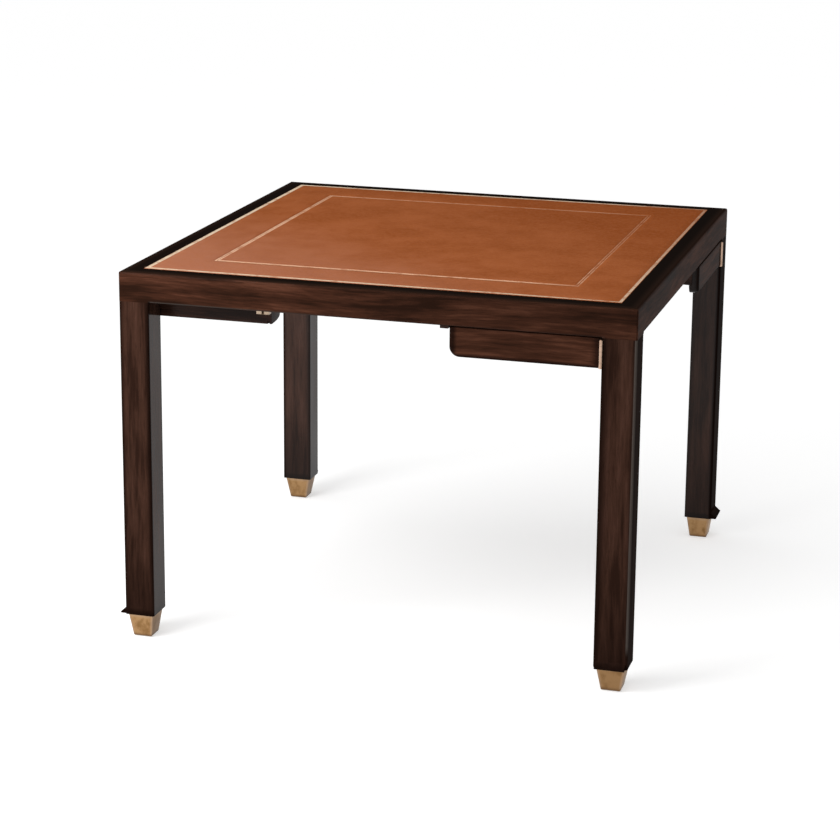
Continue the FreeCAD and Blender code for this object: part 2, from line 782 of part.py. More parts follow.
def make_fixed_leaf(side):
    knuckles = ("0", "knuckle_third", "knuckle_fifth")
    body = make_leaf(f"fixed_leaf_{SIDES[side]}", "fixed_leaf_back", knuckles, "fixed_bore",
                     TOWARD_LEG, "leaf_thick")
    inner = doc.addObject("Part::Compound", f"fixed_leaf_seat_{SIDES[side]}")
    set_base(body, "0", "-fixed_leaf_back", "hinge_low")
    inner.Links = [body]
    hang(inner, side)
    return inner


def make_moving_leaf(side):
    knuckles = ("knuckle_second", "knuckle_fourth")
    name = f"drawer_leaf_{SIDES[side]}"
    body = make_leaf(f"{name}_shape", "0", knuckles, "moving_bore", TOWARD_FREE_END, "0")
    set_base(body, "0", "0", "hinge_low")
    leaf = group(name, [body])
    hang(leaf, side)
    return leaf


def make_pin(side):
    """Hinge pin with a flat head at each end."""
    shaft = doc.addObject("Part::Cylinder", f"pin_shaft_{SIDES[side]}")
    shaft.setExpression("Radius", formula("pin_radius"))
    shaft.setExpression("Height", formula("pin_length"))
    set_base(shaft, "0", "0", "pin_low")
    heads = []
    for end, level in (("low", "pin_low"), ("high", "pin_head_high")):
        head = doc.addObject("Part::Cylinder", f"pin_head_{end}_{SIDES[side]}")
        head.setExpression("Radius", formula("pin_head_radius"))
        head.setExpression("Height", formula("pin_head_thick"))
        set_base(head, "0", "0", level)
        heads.append(head)
    pin = doc.addObject("Part::MultiFuse", f"hinge_pin_{SIDES[side]}")
    pin.Shapes = [shaft] + heads
    hang(pin, side)
    return pin


def make_front(side):
    """Drawer front: rounded lower free corner, lap for the bent wall, hinge recess."""
    body = new_body(f"drawer_front_{SIDES[side]}")
    face = [("0", "0"), ("front_reach", "0"), ("front_reach", "front_height"), ("0", "front_height")]
    pad(body, polygon(body, "YZ_Plane", face), "front_thick")
    fillet(body, "front_corner",
           lambda box: is_at(box.YMin, "front_reach") and is_at(box.ZMax, "0"))
    fillet(body, "front_round",
           lambda box: is_at(box.XMax, "0") and not is_at(box.YMax, "0")
           and not is_at(box.ZMin, "front_height"))
    fillet(body, "front_top_round",
           lambda box: is_at(box.XMax, "0") and is_at(box.ZMin, "front_height"))
    seat = [
        ("wall_lip", "front_drop"),
        ("front_reach", "front_drop"),
        ("front_reach", "box_top"),
        ("lap_edge", "box_top"),
        ("lap_edge", "floor_top"),
        ("wall_lip", "floor_top"),
    ]
    pocket(body, polygon(body, "YZ_Plane", seat, "front_thick"), "lap_depth")
    primitive(body, "SubtractiveCylinder", "0", "0", "0",
              Radius="relief_radius", Height="front_height")
    primitive(body, "SubtractiveBox", "0", "0", "hinge_low",
              Length="leaf_seat", Width="leaf_thick", Height="hinge_length")
    for level in ("door_screw_low", "door_screw_high"):
        bore(body, "leaf_screw_in", "0", level, TOWARD_FREE_END, "leaf_screw_length")
    hang(body, side)
    return body


def make_wall(side):
    """Straight drawer wall along the leg, rebated below for the floor."""
    body = new_body(f"drawer_wall_{SIDES[side]}")
    section = [
        ("0", "front_drop"),
        ("wall_lip", "front_drop"),
        ("wall_lip", "floor_top"),
        ("wall_thick", "floor_top"),
        ("wall_thick", "box_top"),
        ("0", "box_top"),
    ]
    pad(body, polygon(body, "YZ_Plane", section, "front_thick"), "wall_run")
    primitive(body, "SubtractiveBox", "strike_near", "0", "strike_low",
              Length="strike_width", Width="strike_thick", Height="strike_height")
    for inward in ("strike_screw_near", "strike_screw_far"):
        countersink(body, inward, "0", "strike_level", TOWARD_FREE_END, "strike_screw_length")
    hang(body, side)
    return body


def make_bend(side):
    """Bent drawer wall, a quarter round about the hinge axis, rebated below for the floor."""
    body = new_body(f"drawer_bend_{SIDES[side]}")
    section = [
        ("bend_lip", "front_drop"),
        ("drawer_radius", "front_drop"),
        ("drawer_radius", "box_top"),
        ("bend_in", "box_top"),
        ("bend_in", "floor_top"),
        ("bend_lip", "floor_top"),
    ]
    sketch = polygon(body, "XZ_Plane", section)
    sweep = body.newObject("PartDesign::Revolution", f"{body.Name}_sweep")
    sweep.Profile = sketch
    sweep.ReferenceAxis = (sketch, ["V_Axis"])
    sweep.setExpression("Angle", formula("bend_angle"))
    hang(body, side)
    return body


def make_floor(side):
    body = new_body(f"drawer_floor_{SIDES[side]}")
    plan = [("lap_floor", None), ("lap_floor", "floor_side"), (None, "floor_side")]
    pad(body, sector(body, plan, "floor_radius", "front_drop"), "floor_thick")
    hang(body, side)
    return body


def make_felt(side):
    body = new_body(f"drawer_felt_{SIDES[side]}")
    plan = [("felt_front", None), ("felt_front", "felt_side"), (None, "felt_side")]
    pad(body, sector(body, plan, "felt_radius", "floor_top"), "felt_thick")
    hang(body, side)
    return body


def make_fixed_screws(side):
    """Screws of the cover board, the fixed hinge leaf and the catch."""
    name = SIDES[side]
    cover, leaf, catch = "cover_screw_length", "leaf_screw_length", "catch_screw_length"
    spots = [
        ("cover_near", "cover_screw_in", "cover_screw_near", "cover_level", UPWARD, cover),
        ("cover_mid", "cover_screw_in", "cover_screw_mid", "cover_level", UPWARD, cover),
        ("cover_far", "cover_screw_in", "cover_screw_far", "cover_level", UPWARD, cover),
        ("ear_near", "ear_screw_near", "-ear_screw_out", "cover_level", UPWARD, cover),
        ("ear_far", "ear_screw_far", "-ear_screw_out", "cover_level", UPWARD, cover),
        ("leaf_low", "leaf_screw_in", "-hinge_gap", "door_screw_low", TOWARD_LEG, leaf),
        ("leaf_high", "leaf_screw_in", "-hinge_gap", "door_screw_high", TOWARD_LEG, leaf),
        ("catch_near", "catch_screw_near", "-catch_screw_out", "catch_low", UPWARD, catch),
        ("catch_far", "catch_screw_far", "-catch_screw_out", "catch_low", UPWARD, catch),
    ]
    screws = []
    for spot, x, y, z, direction, length in spots:
        screws.append(screw(f"screw_{spot}_{name}", x, y, z, direction, length))
    bunch = doc.addObject("Part::Compound", f"fixed_screws_{name}")
    bunch.Links = screws
    hang(bunch, side)
    return bunch


def make_drawer_screws(side):
    """Screws of the moving hinge leaf and the strike."""
    name = SIDES[side]
    spots = [
        ("leaf_low", "leaf_screw_in", "door_screw_low", "leaf_screw_length"),
        ("leaf_high", "leaf_screw_in", "door_screw_high", "leaf_screw_length"),
        ("strike_near", "strike_screw_near", "strike_level", "strike_screw_length"),
        ("strike_far", "strike_screw_far", "strike_level", "strike_screw_length"),
    ]
    screws = []
    for spot, x, z, length in spots:
        screws.append(screw(f"drawer_screw_{spot}_{name}", x, "0", z, TOWARD_FREE_END, length))
    bunch = group(f"drawer_screws_{name}", screws)
    hang(bunch, side)
    return bunch


def every_side(make):
    return [make(side) for side in range(4)]


nodes = [make_top_panel(), make_leather()]
for make in (make_rail, make_leg, make_sabot, make_cover):
    nodes += every_side(make)
for label, make in (
    ("foot_glides", make_glide),
    ("corner_blocks", make_corner_block),
    ("panel_bearers", make_bearer),
    ("ball_catches", make_catch),
    ("hinge_leaves_fixed", make_fixed_leaf),
    ("hinge_pins", make_pin),
    ("fixed_screws", make_fixed_screws),
):
    nodes.append(group(label, every_side(make)))
for make in (
    make_front,
    make_wall,
    make_bend,
    make_floor,
    make_felt,
    make_moving_leaf,
    make_strike,
    make_drawer_screws,
):
    nodes += every_side(make)
doc.recompute()

for item in doc.Objects:
    if "Invalid" in item.State or "Error" in item.State:
        raise RuntimeError(f"{item.Label} did not build: {item.State}")
for node in nodes:
    if node.Shape.isNull() or not node.Shape.isValid():
        raise RuntimeError(f"{node.Label} has no valid shape")
for node in nodes:
    node.Shape.exportStep(f"parts/{node.Label}.step")
    print(node.Label, len(node.Shape.Solids), round(node.Shape.Volume, 1))
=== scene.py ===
import math

import bmesh
import bpy
from mathutils import Matrix, Vector, noise


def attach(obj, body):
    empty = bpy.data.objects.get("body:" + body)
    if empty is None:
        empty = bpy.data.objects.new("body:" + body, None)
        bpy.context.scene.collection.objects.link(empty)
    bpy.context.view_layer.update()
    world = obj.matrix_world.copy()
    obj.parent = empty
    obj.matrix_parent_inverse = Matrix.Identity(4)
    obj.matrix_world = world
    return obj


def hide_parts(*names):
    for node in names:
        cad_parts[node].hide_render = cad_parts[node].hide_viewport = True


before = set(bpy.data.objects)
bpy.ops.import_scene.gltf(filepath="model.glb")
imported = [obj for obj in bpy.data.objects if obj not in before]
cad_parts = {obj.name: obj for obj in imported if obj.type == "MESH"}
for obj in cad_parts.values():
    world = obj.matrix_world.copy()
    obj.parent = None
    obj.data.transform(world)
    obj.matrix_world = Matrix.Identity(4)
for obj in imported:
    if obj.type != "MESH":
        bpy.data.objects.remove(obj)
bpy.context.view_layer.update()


# Legs: four posts of solid mahogany, a little wider than deep, stained dark and lacquered, the
# outer faces rubbed to satin. The grain runs upright. Painted shade darkens the rounded arrises,
# the lower shank, the foot, the side faces and a band at the hinge side, and a painted highlight
# lies on the outermost arris; a small toe lip is worked on one face of each foot just above the
# brass.
def add(tree, kind, wires=None, **settings):
    """Put a shader node in a tree; its inputs take sockets or plain values."""
    made = tree.nodes.new("ShaderNode" + kind)
    for name, value in settings.items():
        setattr(made, name, value)
    for socket, value in (wires or {}).items():
        if isinstance(value, bpy.types.NodeSocket):
            tree.links.new(value, made.inputs[socket])
        else:
            made.inputs[socket].default_value = value
    return made


def reckon(tree, operation, *values):
    """One sum with sockets or plain values."""
    return add(tree, "Math", dict(enumerate(values)), operation=operation).outputs[0]


def strongest(tree, first, *others):
    """The greatest of some masks."""
    for other in others:
        first = reckon(tree, "MAXIMUM", first, other)
    return first


def either(tree, chosen, first, second):
    """The first value where chosen is 0, the second where it is 1."""
    return add(tree, "Mix", {"Factor": chosen, 2: first, 3: second}).outputs[0]


def ramp(tree, value, low, high, start=0.0, end=1.0):
    """Smooth step of a value between two limits."""
    limits = {"From Min": low, "From Max": high, "To Min": start, "To Max": end}
    made = add(tree, "MapRange", {"Value": value, **limits}, interpolation_type="SMOOTHSTEP")
    return made.outputs["Result"]


def tint(tree, share, first, second):
    """Colour between two colours."""
    made = add(tree, "Mix", {"Factor": share}, data_type="RGBA")
    for socket, value in ((made.inputs[6], first), (made.inputs[7], second)):
        if isinstance(value, bpy.types.NodeSocket):
            tree.links.new(value, socket)
        else:
            socket.default_value = (*value, 1.0)
    return made.outputs[2]


def cloud(tree, vector, waves, detail=3.0, rough=0.5):
    """Noise on coordinates in metres, with so many waves to the metre on each axis."""
    scaled = add(tree, "VectorMath", {0: vector, 1: waves}, operation="MULTIPLY").outputs[0]
    grade = {"Scale": 1.0, "Detail": detail, "Roughness": rough}
    return add(tree, "TexNoise", {"Vector": scaled, **grade}).outputs[0]


def open_group(name, takes, gives):
    """Start a node group with named inputs and outputs."""
    group = bpy.data.node_groups.new(name, "ShaderNodeTree")
    for label, kind in takes:
        group.interface.new_socket(label, in_out="INPUT", socket_type="NodeSocket" + kind)
    for label, kind in gives:
        group.interface.new_socket(label, in_out="OUTPUT", socket_type="NodeSocket" + kind)
    inward = group.nodes.new("NodeGroupInput").outputs
    outward = group.nodes.new("NodeGroupOutput").inputs
    return group, inward, outward


# The timber figure in waves to the metre, along the grain and twice across it.
RIBBON_WAVES, THREAD_WAVES = (5.5, 50.0, 50.0), (14.0, 210.0, 210.0)
PATCH_WAVES, PORE_WAVES = (3.2, 9.0, 9.0), (30.0, 1250.0, 1250.0)
WANDER_WAVES, WANDER_REACH = 2.6, (0.0, 0.028, 0.028)
RIBBON_SHARE, THREAD_SHARE, PATCH_SHARE = 0.55, 0.30, 0.28
PORE_SHARE, PORE_HEIGHT, THREAD_HEIGHT = 0.55, -0.8, 0.25
figure, takes, gives = open_group(
    "timber_figure",
    (("Grain", "Vector"), ("Dark", "Color"), ("Body", "Color"), ("Pale", "Color")),
    (("Colour", "Color"), ("Pores", "Float"), ("Cloud", "Float"), ("Height", "Float")),
)
wander = add(figure, "TexNoise", {"Vector": takes["Grain"], "Scale": WANDER_WAVES, "Detail": 1.0})
drift = add(figure, "VectorMath", {0: wander.outputs[1], 1: WANDER_REACH}, operation="MULTIPLY")
moved = add(figure, "VectorMath", {0: takes["Grain"], 1: drift.outputs[0]}, operation="ADD")
drifted = moved.outputs[0]
ribbon = cloud(figure, drifted, RIBBON_WAVES, detail=4.0, rough=0.55)
thread = cloud(figure, drifted, THREAD_WAVES, detail=4.0, rough=0.6)
patch = cloud(figure, takes["Grain"], PATCH_WAVES, detail=2.0)
pores = ramp(figure, cloud(figure, drifted, PORE_WAVES, detail=1.0), 0.58, 0.68)
patches = reckon(figure, "MULTIPLY", patch, PATCH_SHARE)
banding = reckon(figure, "MULTIPLY_ADD", ribbon, RIBBON_SHARE, patches)
tone = reckon(figure, "MULTIPLY_ADD", thread, THREAD_SHARE, banding)
stained = tint(figure, ramp(figure, tone, 0.45, 0.585), takes["Dark"], takes["Body"])
streaked = tint(figure, ramp(figure, tone, 0.565, 0.70, end=0.9), stained, takes["Pale"])
pored = tint(figure, reckon(figure, "MULTIPLY", pores, PORE_SHARE), streaked, takes["Dark"])
threads = reckon(figure, "MULTIPLY", thread, THREAD_HEIGHT)
relief = reckon(figure, "MULTIPLY_ADD", pores, PORE_HEIGHT, threads)
figure.links.new(pored, gives["Colour"])
figure.links.new(pores, gives["Pores"])
figure.links.new(patch, gives["Cloud"])
figure.links.new(relief, gives["Height"])

# The table's axes in the order of the figure: along the grain, then the two across it.
UPRIGHT, ACROSS, ALONG = (2, 0, 1), (0, 1, 2), (1, 0, 2)
# Most values of a noise lie in this span.
NOISE_SPAN = (0.3, 0.7)
POST_SHADES = ((0.0208, 0.0091, 0.0060), (0.0440, 0.0198, 0.0130), (0.0670, 0.0308, 0.0214))
# Colours of the painted shade on the mahogany and of the painted highlight on the legs.
SHADE_DARK, LEG_HIGHLIGHT_GREY = (0.006, 0.0026, 0.0018), (0.092, 0.076, 0.067)
OUTER_FACES, INNER_GLOSS, POST_GLOSS = (0.500, 0.506), 0.62, 0.025
PORE_ROUGH, LACQUER_ROUGH = 0.2, 0.35


def start_material(name):
    """New material with its shader, its coordinates in metres and the three axes apart."""
    material = bpy.data.materials.new(name)
    material.use_nodes = True
    tree = material.node_tree
    shader = tree.nodes["Principled BSDF"]
    place = add(tree, "TexCoord").outputs["Object"]
    axes = add(tree, "SeparateXYZ", {0: place}).outputs
    return material, tree, shader, place, axes


def lay_finish(tree, shader, wires, height, strength, deep):
    """Feed a shader, and its normal from a height that is so many metres deep."""
    bump = add(tree, "Bump", {"Height": height, "Strength": strength, "Distance": deep})
    tree.links.new(bump.outputs[0], shader.inputs["Normal"])
    for label, socket in wires.items():
        tree.links.new(socket, shader.inputs[label])


def timber(tree, axes, grain, shades):
    """The timber figure laid along one axis of the table, in dark, middle and pale shades."""
    laid = add(tree, "CombineXYZ", {slot: axes[axis] for slot, axis in enumerate(grain)}).outputs[0]
    colours = {label: (*shade, 1.0) for label, shade in zip(("Dark", "Body", "Pale"), shades)}
    return add(tree, "Group", {"Grain": laid, **colours}, node_tree=figure).outputs


def from_middle(tree, axes):
    """Distances from the table's middle, across it and along it."""
    return [reckon(tree, "ABSOLUTE", axes[axis]) for axis in (0, 1)]


def lacquered_mahogany(name, grain, shades, outer_gloss, shade_at, painted_matt_at=None):
    """Dark stained mahogany under lacquer, rubbed to satin on the outer faces of the table.

    shade_at gives a mask of painted shade; the last argument gives a mask and colour of painted
    highlights and of a painted dark reflection, left matt.
    """
    material, tree, shader, _, axes = start_material(name)
    wood = timber(tree, axes, grain, shades)
    outward = strongest(tree, *from_middle(tree, axes))
    polish = ramp(tree, outward, *OUTER_FACES, start=INNER_GLOSS, end=outer_gloss)
    uneven = ramp(tree, wood["Cloud"], *NOISE_SPAN, start=1.1, end=0.9)
    gloss = reckon(tree, "MULTIPLY", polish, uneven)
    colour = tint(tree, shade_at(tree, axes), wood["Colour"], SHADE_DARK)
    if painted_matt_at:
        painted_matt, painted_matt_colour = painted_matt_at(tree, axes)
        colour = tint(tree, painted_matt, colour, painted_matt_colour)
        gloss = reckon(tree, "MULTIPLY", gloss, reckon(tree, "SUBTRACT", 1.0, painted_matt))
    rough = reckon(tree, "MULTIPLY_ADD", wood["Pores"], PORE_ROUGH, LACQUER_ROUGH)
    wires = {"Base Color": colour, "Roughness": rough, "Coat Weight": gloss}
    lay_finish(tree, shader, wires, wood["Height"], strength=0.25, deep=0.0003)
    shader.inputs["Specular IOR Level"].default_value = 0.0
    shader.inputs["Coat Roughness"].default_value = 0.10
    shader.inputs["Coat IOR"].default_value = 1.3
    return material


def dress(material, *names):
    """Give CAD nodes a finish."""
    for name in names:
        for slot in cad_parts[name].material_slots:
            slot.material = material


LEG_WIDE_MIDDLE, LEG_DEEP_MIDDLE = 0.475, 0.478
# Where the painted shade and highlight of a leg begin and end, in metres. The arrises add up two
# distances: from the middle lines of the post, and for the outermost one from the table's middle.
# Foot, shank and toe are heights. Flank, outer face and hinge side lie so far out from the table's
# middle.
LEG_ARRIS, LEG_OUTERMOST = (0.0515, 0.0605), (1.0108, 1.0128)
LEG_FOOT, LEG_SHANK, LEG_TOE = (0.0530, 0.0800), (0.06, 0.25), (0.074, 0.100)
LEG_FLANK, LEG_OUTER, LEG_HINGE_SIDE = (0.5055, 0.5072), (0.496, 0.504), (0.4430, 0.4665)


def turned_post(tree, axes):
    """1 at the front left and back right posts, whose width lies along the table, 0 at the others."""
    return reckon(tree, "LESS_THAN", 0.0, reckon(tree, "MULTIPLY", axes[0], axes[1]))


def post_reach(tree, axes):
    """Distance from the table's middle, along the width of the nearest post and along its depth."""
    turned = turned_post(tree, axes)
    across, along = from_middle(tree, axes)
    return either(tree, turned, across, along), either(tree, turned, along, across)


def from_post(tree, axes):
    """Distance from the middle line of the nearest post, along its width and along its depth."""
    return [reckon(tree, "ABSOLUTE", reckon(tree, "SUBTRACT", reach, middle))
            for reach, middle in zip(post_reach(tree, axes), (LEG_WIDE_MIDDLE, LEG_DEEP_MIDDLE))]


def leg_shade(tree, axes):
    """Painted shade on the arrises of each post, its lower part and end, its side face and a band at
    the hinge.
    """
    arris = ramp(tree, reckon(tree, "ADD", *from_post(tree, axes)), *LEG_ARRIS, end=0.76)
    foot = ramp(tree, axes[2], *LEG_FOOT, start=0.92, end=0.0)
    shank = ramp(tree, axes[2], *LEG_SHANK, start=0.56, end=0.0)
    flank = ramp(tree, reckon(tree, "ABSOLUTE", axes[0]), *LEG_FLANK, end=0.74)
    wide, deep = post_reach(tree, axes)
    outer = ramp(tree, strongest(tree, wide, deep), *LEG_OUTER)
    hung = reckon(tree, "MULTIPLY", ramp(tree, wide, *LEG_HINGE_SIDE, start=0.9, end=0.0), outer)
    return strongest(tree, arris, foot, shank, flank, hung)


def leg_highlight(tree, axes):
    """A painted highlight on the outermost arris of the posts that stand broad side on, down to the
    toe.
    """
    outermost = reckon(tree, "ADD", *post_reach(tree, axes))
    wear_and_highlight = reckon(tree, "MULTIPLY", ramp(tree, outermost, *LEG_OUTERMOST, end=0.85),
                    ramp(tree, axes[2], *LEG_TOE))
    broad_on = reckon(tree, "SUBTRACT", 1.0, turned_post(tree, axes))
    return reckon(tree, "MULTIPLY", wear_and_highlight, broad_on), LEG_HIGHLIGHT_GREY


CORNERS = ("front_right", "back_right", "back_left", "front_left")
leg_finish = lacquered_mahogany("leg_mahogany", UPRIGHT, POST_SHADES, POST_GLOSS, leg_shade, leg_highlight)
dress(leg_finish, *("leg_" + corner for corner in CORNERS))


# Sabots: tapered shoes of satin brass that the leg spigots stand in. Each is a cast block,
# ground flat on its four faces, with softened edges and a round seat below for the glide.
SABOT_WIDE, SABOT_DEEP, SABOT_FOOT = 0.057, 0.051, 0.038
SABOT_LOW, SABOT_HIGH = 0.0015, 0.050
SABOT_ARRIS, COLLAR_ARRIS, SOLE_BORDER = 0.0022, 0.0007, 0.004
GLIDE_SEAT, SEAT_DEEP = 0.0101, 0.0026
STAIN_WAVES, SCRATCH_WAVES = (55.0, 55.0, 40.0), (900.0, 900.0, 26.0)
STAIN_ROUGH, SCRATCH_ROUGH = 0.16, 0.10
SABOT_BRIGHT, SABOT_DULL = (0.350, 0.206, 0.094), (0.222, 0.120, 0.046)
# Painted light on the sabots, its colours and where it lies: a highlight on the arrises and collar, and
# shade on the inner flanks, towards the front right corner and round the foot.
SABOT_HIGHLIGHT, SABOT_FLANK_SHADE = (0.400, 0.290, 0.210), (0.120, 0.078, 0.052)
SABOT_CORNER_SHADE, SABOT_FOOT_SHADE = (0.175, 0.096, 0.042), (0.13, 0.072, 0.034)
SHADED_CORNER = (0.6, 0.9)
COLLAR_HIGHLIGHT = (SABOT_HIGH - 0.009, SABOT_HIGH - 0.003)
FOOT_SHADE = (SABOT_LOW + 0.001, SABOT_LOW + 0.0090)
CREASE = math.radians(35)
brass_tone, takes, gives = open_group(
    "brass_tone",
    (("Place", "Vector"), ("Bright", "Color"), ("Dull", "Color"), ("Smooth", "Float")),
    (("Colour", "Color"), ("Roughness", "Float"), ("Height", "Float")),
)
stain = cloud(brass_tone, takes["Place"], STAIN_WAVES, detail=4.0, rough=0.6)
scratch = cloud(brass_tone, takes["Place"], SCRATCH_WAVES, detail=2.0)
dulled = tint(brass_tone, ramp(brass_tone, stain, 0.42, 0.68), takes["Bright"], takes["Dull"])
worn = reckon(brass_tone, "MULTIPLY_ADD", stain, STAIN_ROUGH, takes["Smooth"])
scratched = reckon(brass_tone, "MULTIPLY_ADD", scratch, SCRATCH_ROUGH, worn)
brass_tone.links.new(dulled, gives["Colour"])
brass_tone.links.new(scratched, gives["Roughness"])
brass_tone.links.new(scratch, gives["Height"])


def brass(name, bright, dull, smooth, scratch_depth, painted_light_at=None):
    """Brass with faint tarnish and fine scratches; the last argument may add painted highlights and
    painted shade to its colour.
    """
    material, tree, shader, place, axes = start_material(name)
    metal = {"Place": place, "Smooth": smooth, "Bright": (*bright, 1.0), "Dull": (*dull, 1.0)}
    tone = add(tree, "Group", metal, node_tree=brass_tone).outputs
    colour = tone["Colour"]
    if painted_light_at:
        colour = painted_light_at(tree, axes, colour)
    wires = {"Base Color": colour, "Roughness": tone["Roughness"]}
    lay_finish(tree, shader, wires, tone["Height"], strength=0.3, deep=scratch_depth)
    shader.inputs["Metallic"].default_value = 1.0
    return material


def height_of(face):
    """Height of the middle of a face."""
    return face.calc_center_median().z


def bevel(shape, edges, width, segments):
    """Round some edges of a shape."""
    bmesh.ops.bevel(shape, geom=edges, offset=width, offset_type="OFFSET", segments=segments,
                    profile=0.5, affect="EDGES", material=-1, clamp_overlap=True)


def sink_face(shape, face, rise):
    """Draw a face up or down into a shape, and give the corners of its new place."""
    grown = bmesh.ops.extrude_face_region(shape, geom=[face])["geom"]
    bmesh.ops.delete(shape, geom=[face], context="FACES")
    corners = [item for item in grown if isinstance(item, bmesh.types.BMVert)]
    bmesh.ops.translate(shape, vec=(0, 0, rise), verts=corners)
    return corners


def turn_to_side(shape, side):
    """Turn what is shaped for the front to another side of the table."""
    quarter = Matrix.Rotation(math.radians(90 * side), 3, "Z")
    bmesh.ops.rotate(shape, cent=(0, 0, 0), matrix=quarter, verts=shape.verts)


def finish_piece(shape, name, material, body, stands_for):
    """Make a shaped mesh a piece of the table that rides on a body."""
    mesh = bpy.data.meshes.new(name)
    shape.to_mesh(mesh)
    shape.free()
    mesh.materials.append(material)
    mesh.polygons.foreach_set("use_smooth", [True] * len(mesh.polygons))
    mesh.set_sharp_from_angle(angle=CREASE)
    piece = bpy.data.objects.new(name, mesh)
    bpy.context.scene.collection.objects.link(piece)
    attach(piece, body)
    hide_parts(*stands_for)
    return piece


def sabot_light_and_shade(tree, axes, colour):
    """Painted highlights on the arrises and collar, painted shade on the inner side faces and round
    the foot.

    Painted shade makes the sabots nearest the front right corner browner.
    """
    share = []
    for reach, top in zip(from_post(tree, axes), (SABOT_WIDE, SABOT_DEEP)):
        half = ramp(tree, axes[2], SABOT_LOW, SABOT_HIGH, start=SABOT_FOOT / 2, end=top / 2)
        half.node.interpolation_type = "LINEAR"
        share.append(reckon(tree, "DIVIDE", reach, half))
    sideways = either(tree, turned_post(tree, axes), *share)
    inward = reckon(tree, "LESS_THAN", reckon(tree, "ABSOLUTE", axes[0]), LEG_WIDE_MIDDLE)
    flank = reckon(tree, "MULTIPLY", ramp(tree, sideways, 0.95, 0.99, end=0.55), inward)
    colour = tint(tree, flank, colour, SABOT_FLANK_SHADE)
    corner_shade = ramp(tree, reckon(tree, "SUBTRACT", axes[0], axes[1]), *SHADED_CORNER, end=0.5)
    colour = tint(tree, corner_shade, colour, SABOT_CORNER_SHADE)
    arris = ramp(tree, reckon(tree, "MINIMUM", *share), 0.74, 0.94, end=0.42)
    collar = ramp(tree, axes[2], *COLLAR_HIGHLIGHT, end=0.34)
    colour = tint(tree, strongest(tree, arris, collar), colour, SABOT_HIGHLIGHT)
    foot = ramp(tree, axes[2], *FOOT_SHADE, start=0.8, end=0.0)
    return tint(tree, foot, colour, SABOT_FOOT_SHADE)


sabot_brass = brass("sabot_brass", SABOT_BRIGHT, SABOT_DULL, smooth=0.30, scratch_depth=0.0002,
                    painted_light_at=sabot_light_and_shade)
for side, corner in enumerate(CORNERS):
    shoe = bmesh.new()
    tall = SABOT_HIGH - SABOT_LOW
    lift = Matrix.Translation((0, 0, SABOT_LOW + tall / 2))
    block = Matrix.Diagonal((SABOT_WIDE, SABOT_DEEP, tall, 1))
    bmesh.ops.create_cube(shoe, size=1.0, matrix=lift @ block)
    low = [vert for vert in shoe.verts if vert.co.z < SABOT_LOW + tall / 2]
    bmesh.ops.scale(shoe, vec=(SABOT_FOOT / SABOT_WIDE, SABOT_FOOT / SABOT_DEEP, 1), verts=low)
    upright = [edge for edge in shoe.edges
               if abs(edge.verts[0].co.z - edge.verts[1].co.z) > tall / 2]
    bevel(shoe, upright, SABOT_ARRIS, segments=4)
    bmesh.ops.recalc_face_normals(shoe, faces=shoe.faces)
    sole = min(shoe.faces, key=height_of)
    bevel(shoe, list(sole.edges), SABOT_ARRIS, segments=4)
    collar = max(shoe.faces, key=height_of)
    bevel(shoe, list(collar.edges), COLLAR_ARRIS, segments=2)
    sole = min(shoe.faces, key=height_of)
    bmesh.ops.inset_region(shoe, faces=[sole], thickness=SOLE_BORDER, use_even_offset=True)
    for vert in sole.verts:
        vert.co.xy = vert.co.xy.normalized() * GLIDE_SEAT
    sink_face(shoe, sole, SEAT_DEEP)
    bmesh.ops.translate(shoe, vec=(LEG_WIDE_MIDDLE, -LEG_DEEP_MIDDLE, 0), verts=shoe.verts)
    turn_to_side(shoe, side)
    bmesh.ops.recalc_face_normals(shoe, faces=shoe.faces)
    finish_piece(shoe, "brass_sabot_" + corner, sabot_brass, "table_frame",
                 ["sabot_" + corner])


# Glides: four round nylon buttons pressed into the sabots; the table stands on them.
# Dull, nearly black, scuffed a little paler by the floor.
SCUFF_WAVES = (700.0, 700.0, 700.0)
NYLON_DARK, NYLON_SCUFFED = (0.030, 0.026, 0.023), (0.085, 0.075, 0.066)
glide_nylon, tree, shader, place, _ = start_material("glide_nylon")
scuff = cloud(tree, place, SCUFF_WAVES, detail=4.0, rough=0.65)
nylon = tint(tree, ramp(tree, scuff, 0.45, 0.7), NYLON_DARK, NYLON_SCUFFED)
tree.links.new(nylon, shader.inputs["Base Color"])
tree.links.new(ramp(tree, scuff, *NOISE_SPAN, start=0.45, end=0.7), shader.inputs["Roughness"])
dress(glide_nylon, "foot_glides")


# Aprons: four deep rails of the same mahogany, mitred at the corners over the legs. The grain
# runs lengthways; their flat top edges are the border of the top, painted nearly black in place of
# a dark reflection. Painted shade lies under the top edge and, on the front and back, towards the
# right-hand end; a painted highlight lies on the lower arris towards the left.
APRON_TOP, APRON_LOW = 0.749, 0.690
RAIL_SHADES = ((0.0180, 0.0072, 0.0041), (0.0445, 0.0162, 0.0090), (0.0900, 0.0340, 0.0195))
ACROSS_GLOSS, ALONG_GLOSS = 0.05, 0.07
BORDER_BLACK, BORDER_BROWN = (0.0055, 0.0030, 0.0019), (0.0165, 0.0082, 0.0052)
APRON_HIGHLIGHT = (0.078, 0.064, 0.056)
# Where the painted dark border, shade and highlight of an apron begin and end: three bands of
# height, two runs from left to right, and two distances out from the table's middle.
TOP_EDGE = (APRON_TOP - 0.0025, APRON_TOP - 0.0001)
UNDER_TOP = (APRON_TOP - 0.008, APRON_TOP - 0.002)
LOWER_ARRIS = (APRON_LOW + 0.0010, APRON_LOW + 0.0045)
HIGHLIGHT_RUN, SHADE_RUN = (-0.42, 0.05), (-0.25, 0.45)
BORDER_OUTSIDE, LEG_INNER_FACE = (0.486, 0.505), (0.442, 0.450)


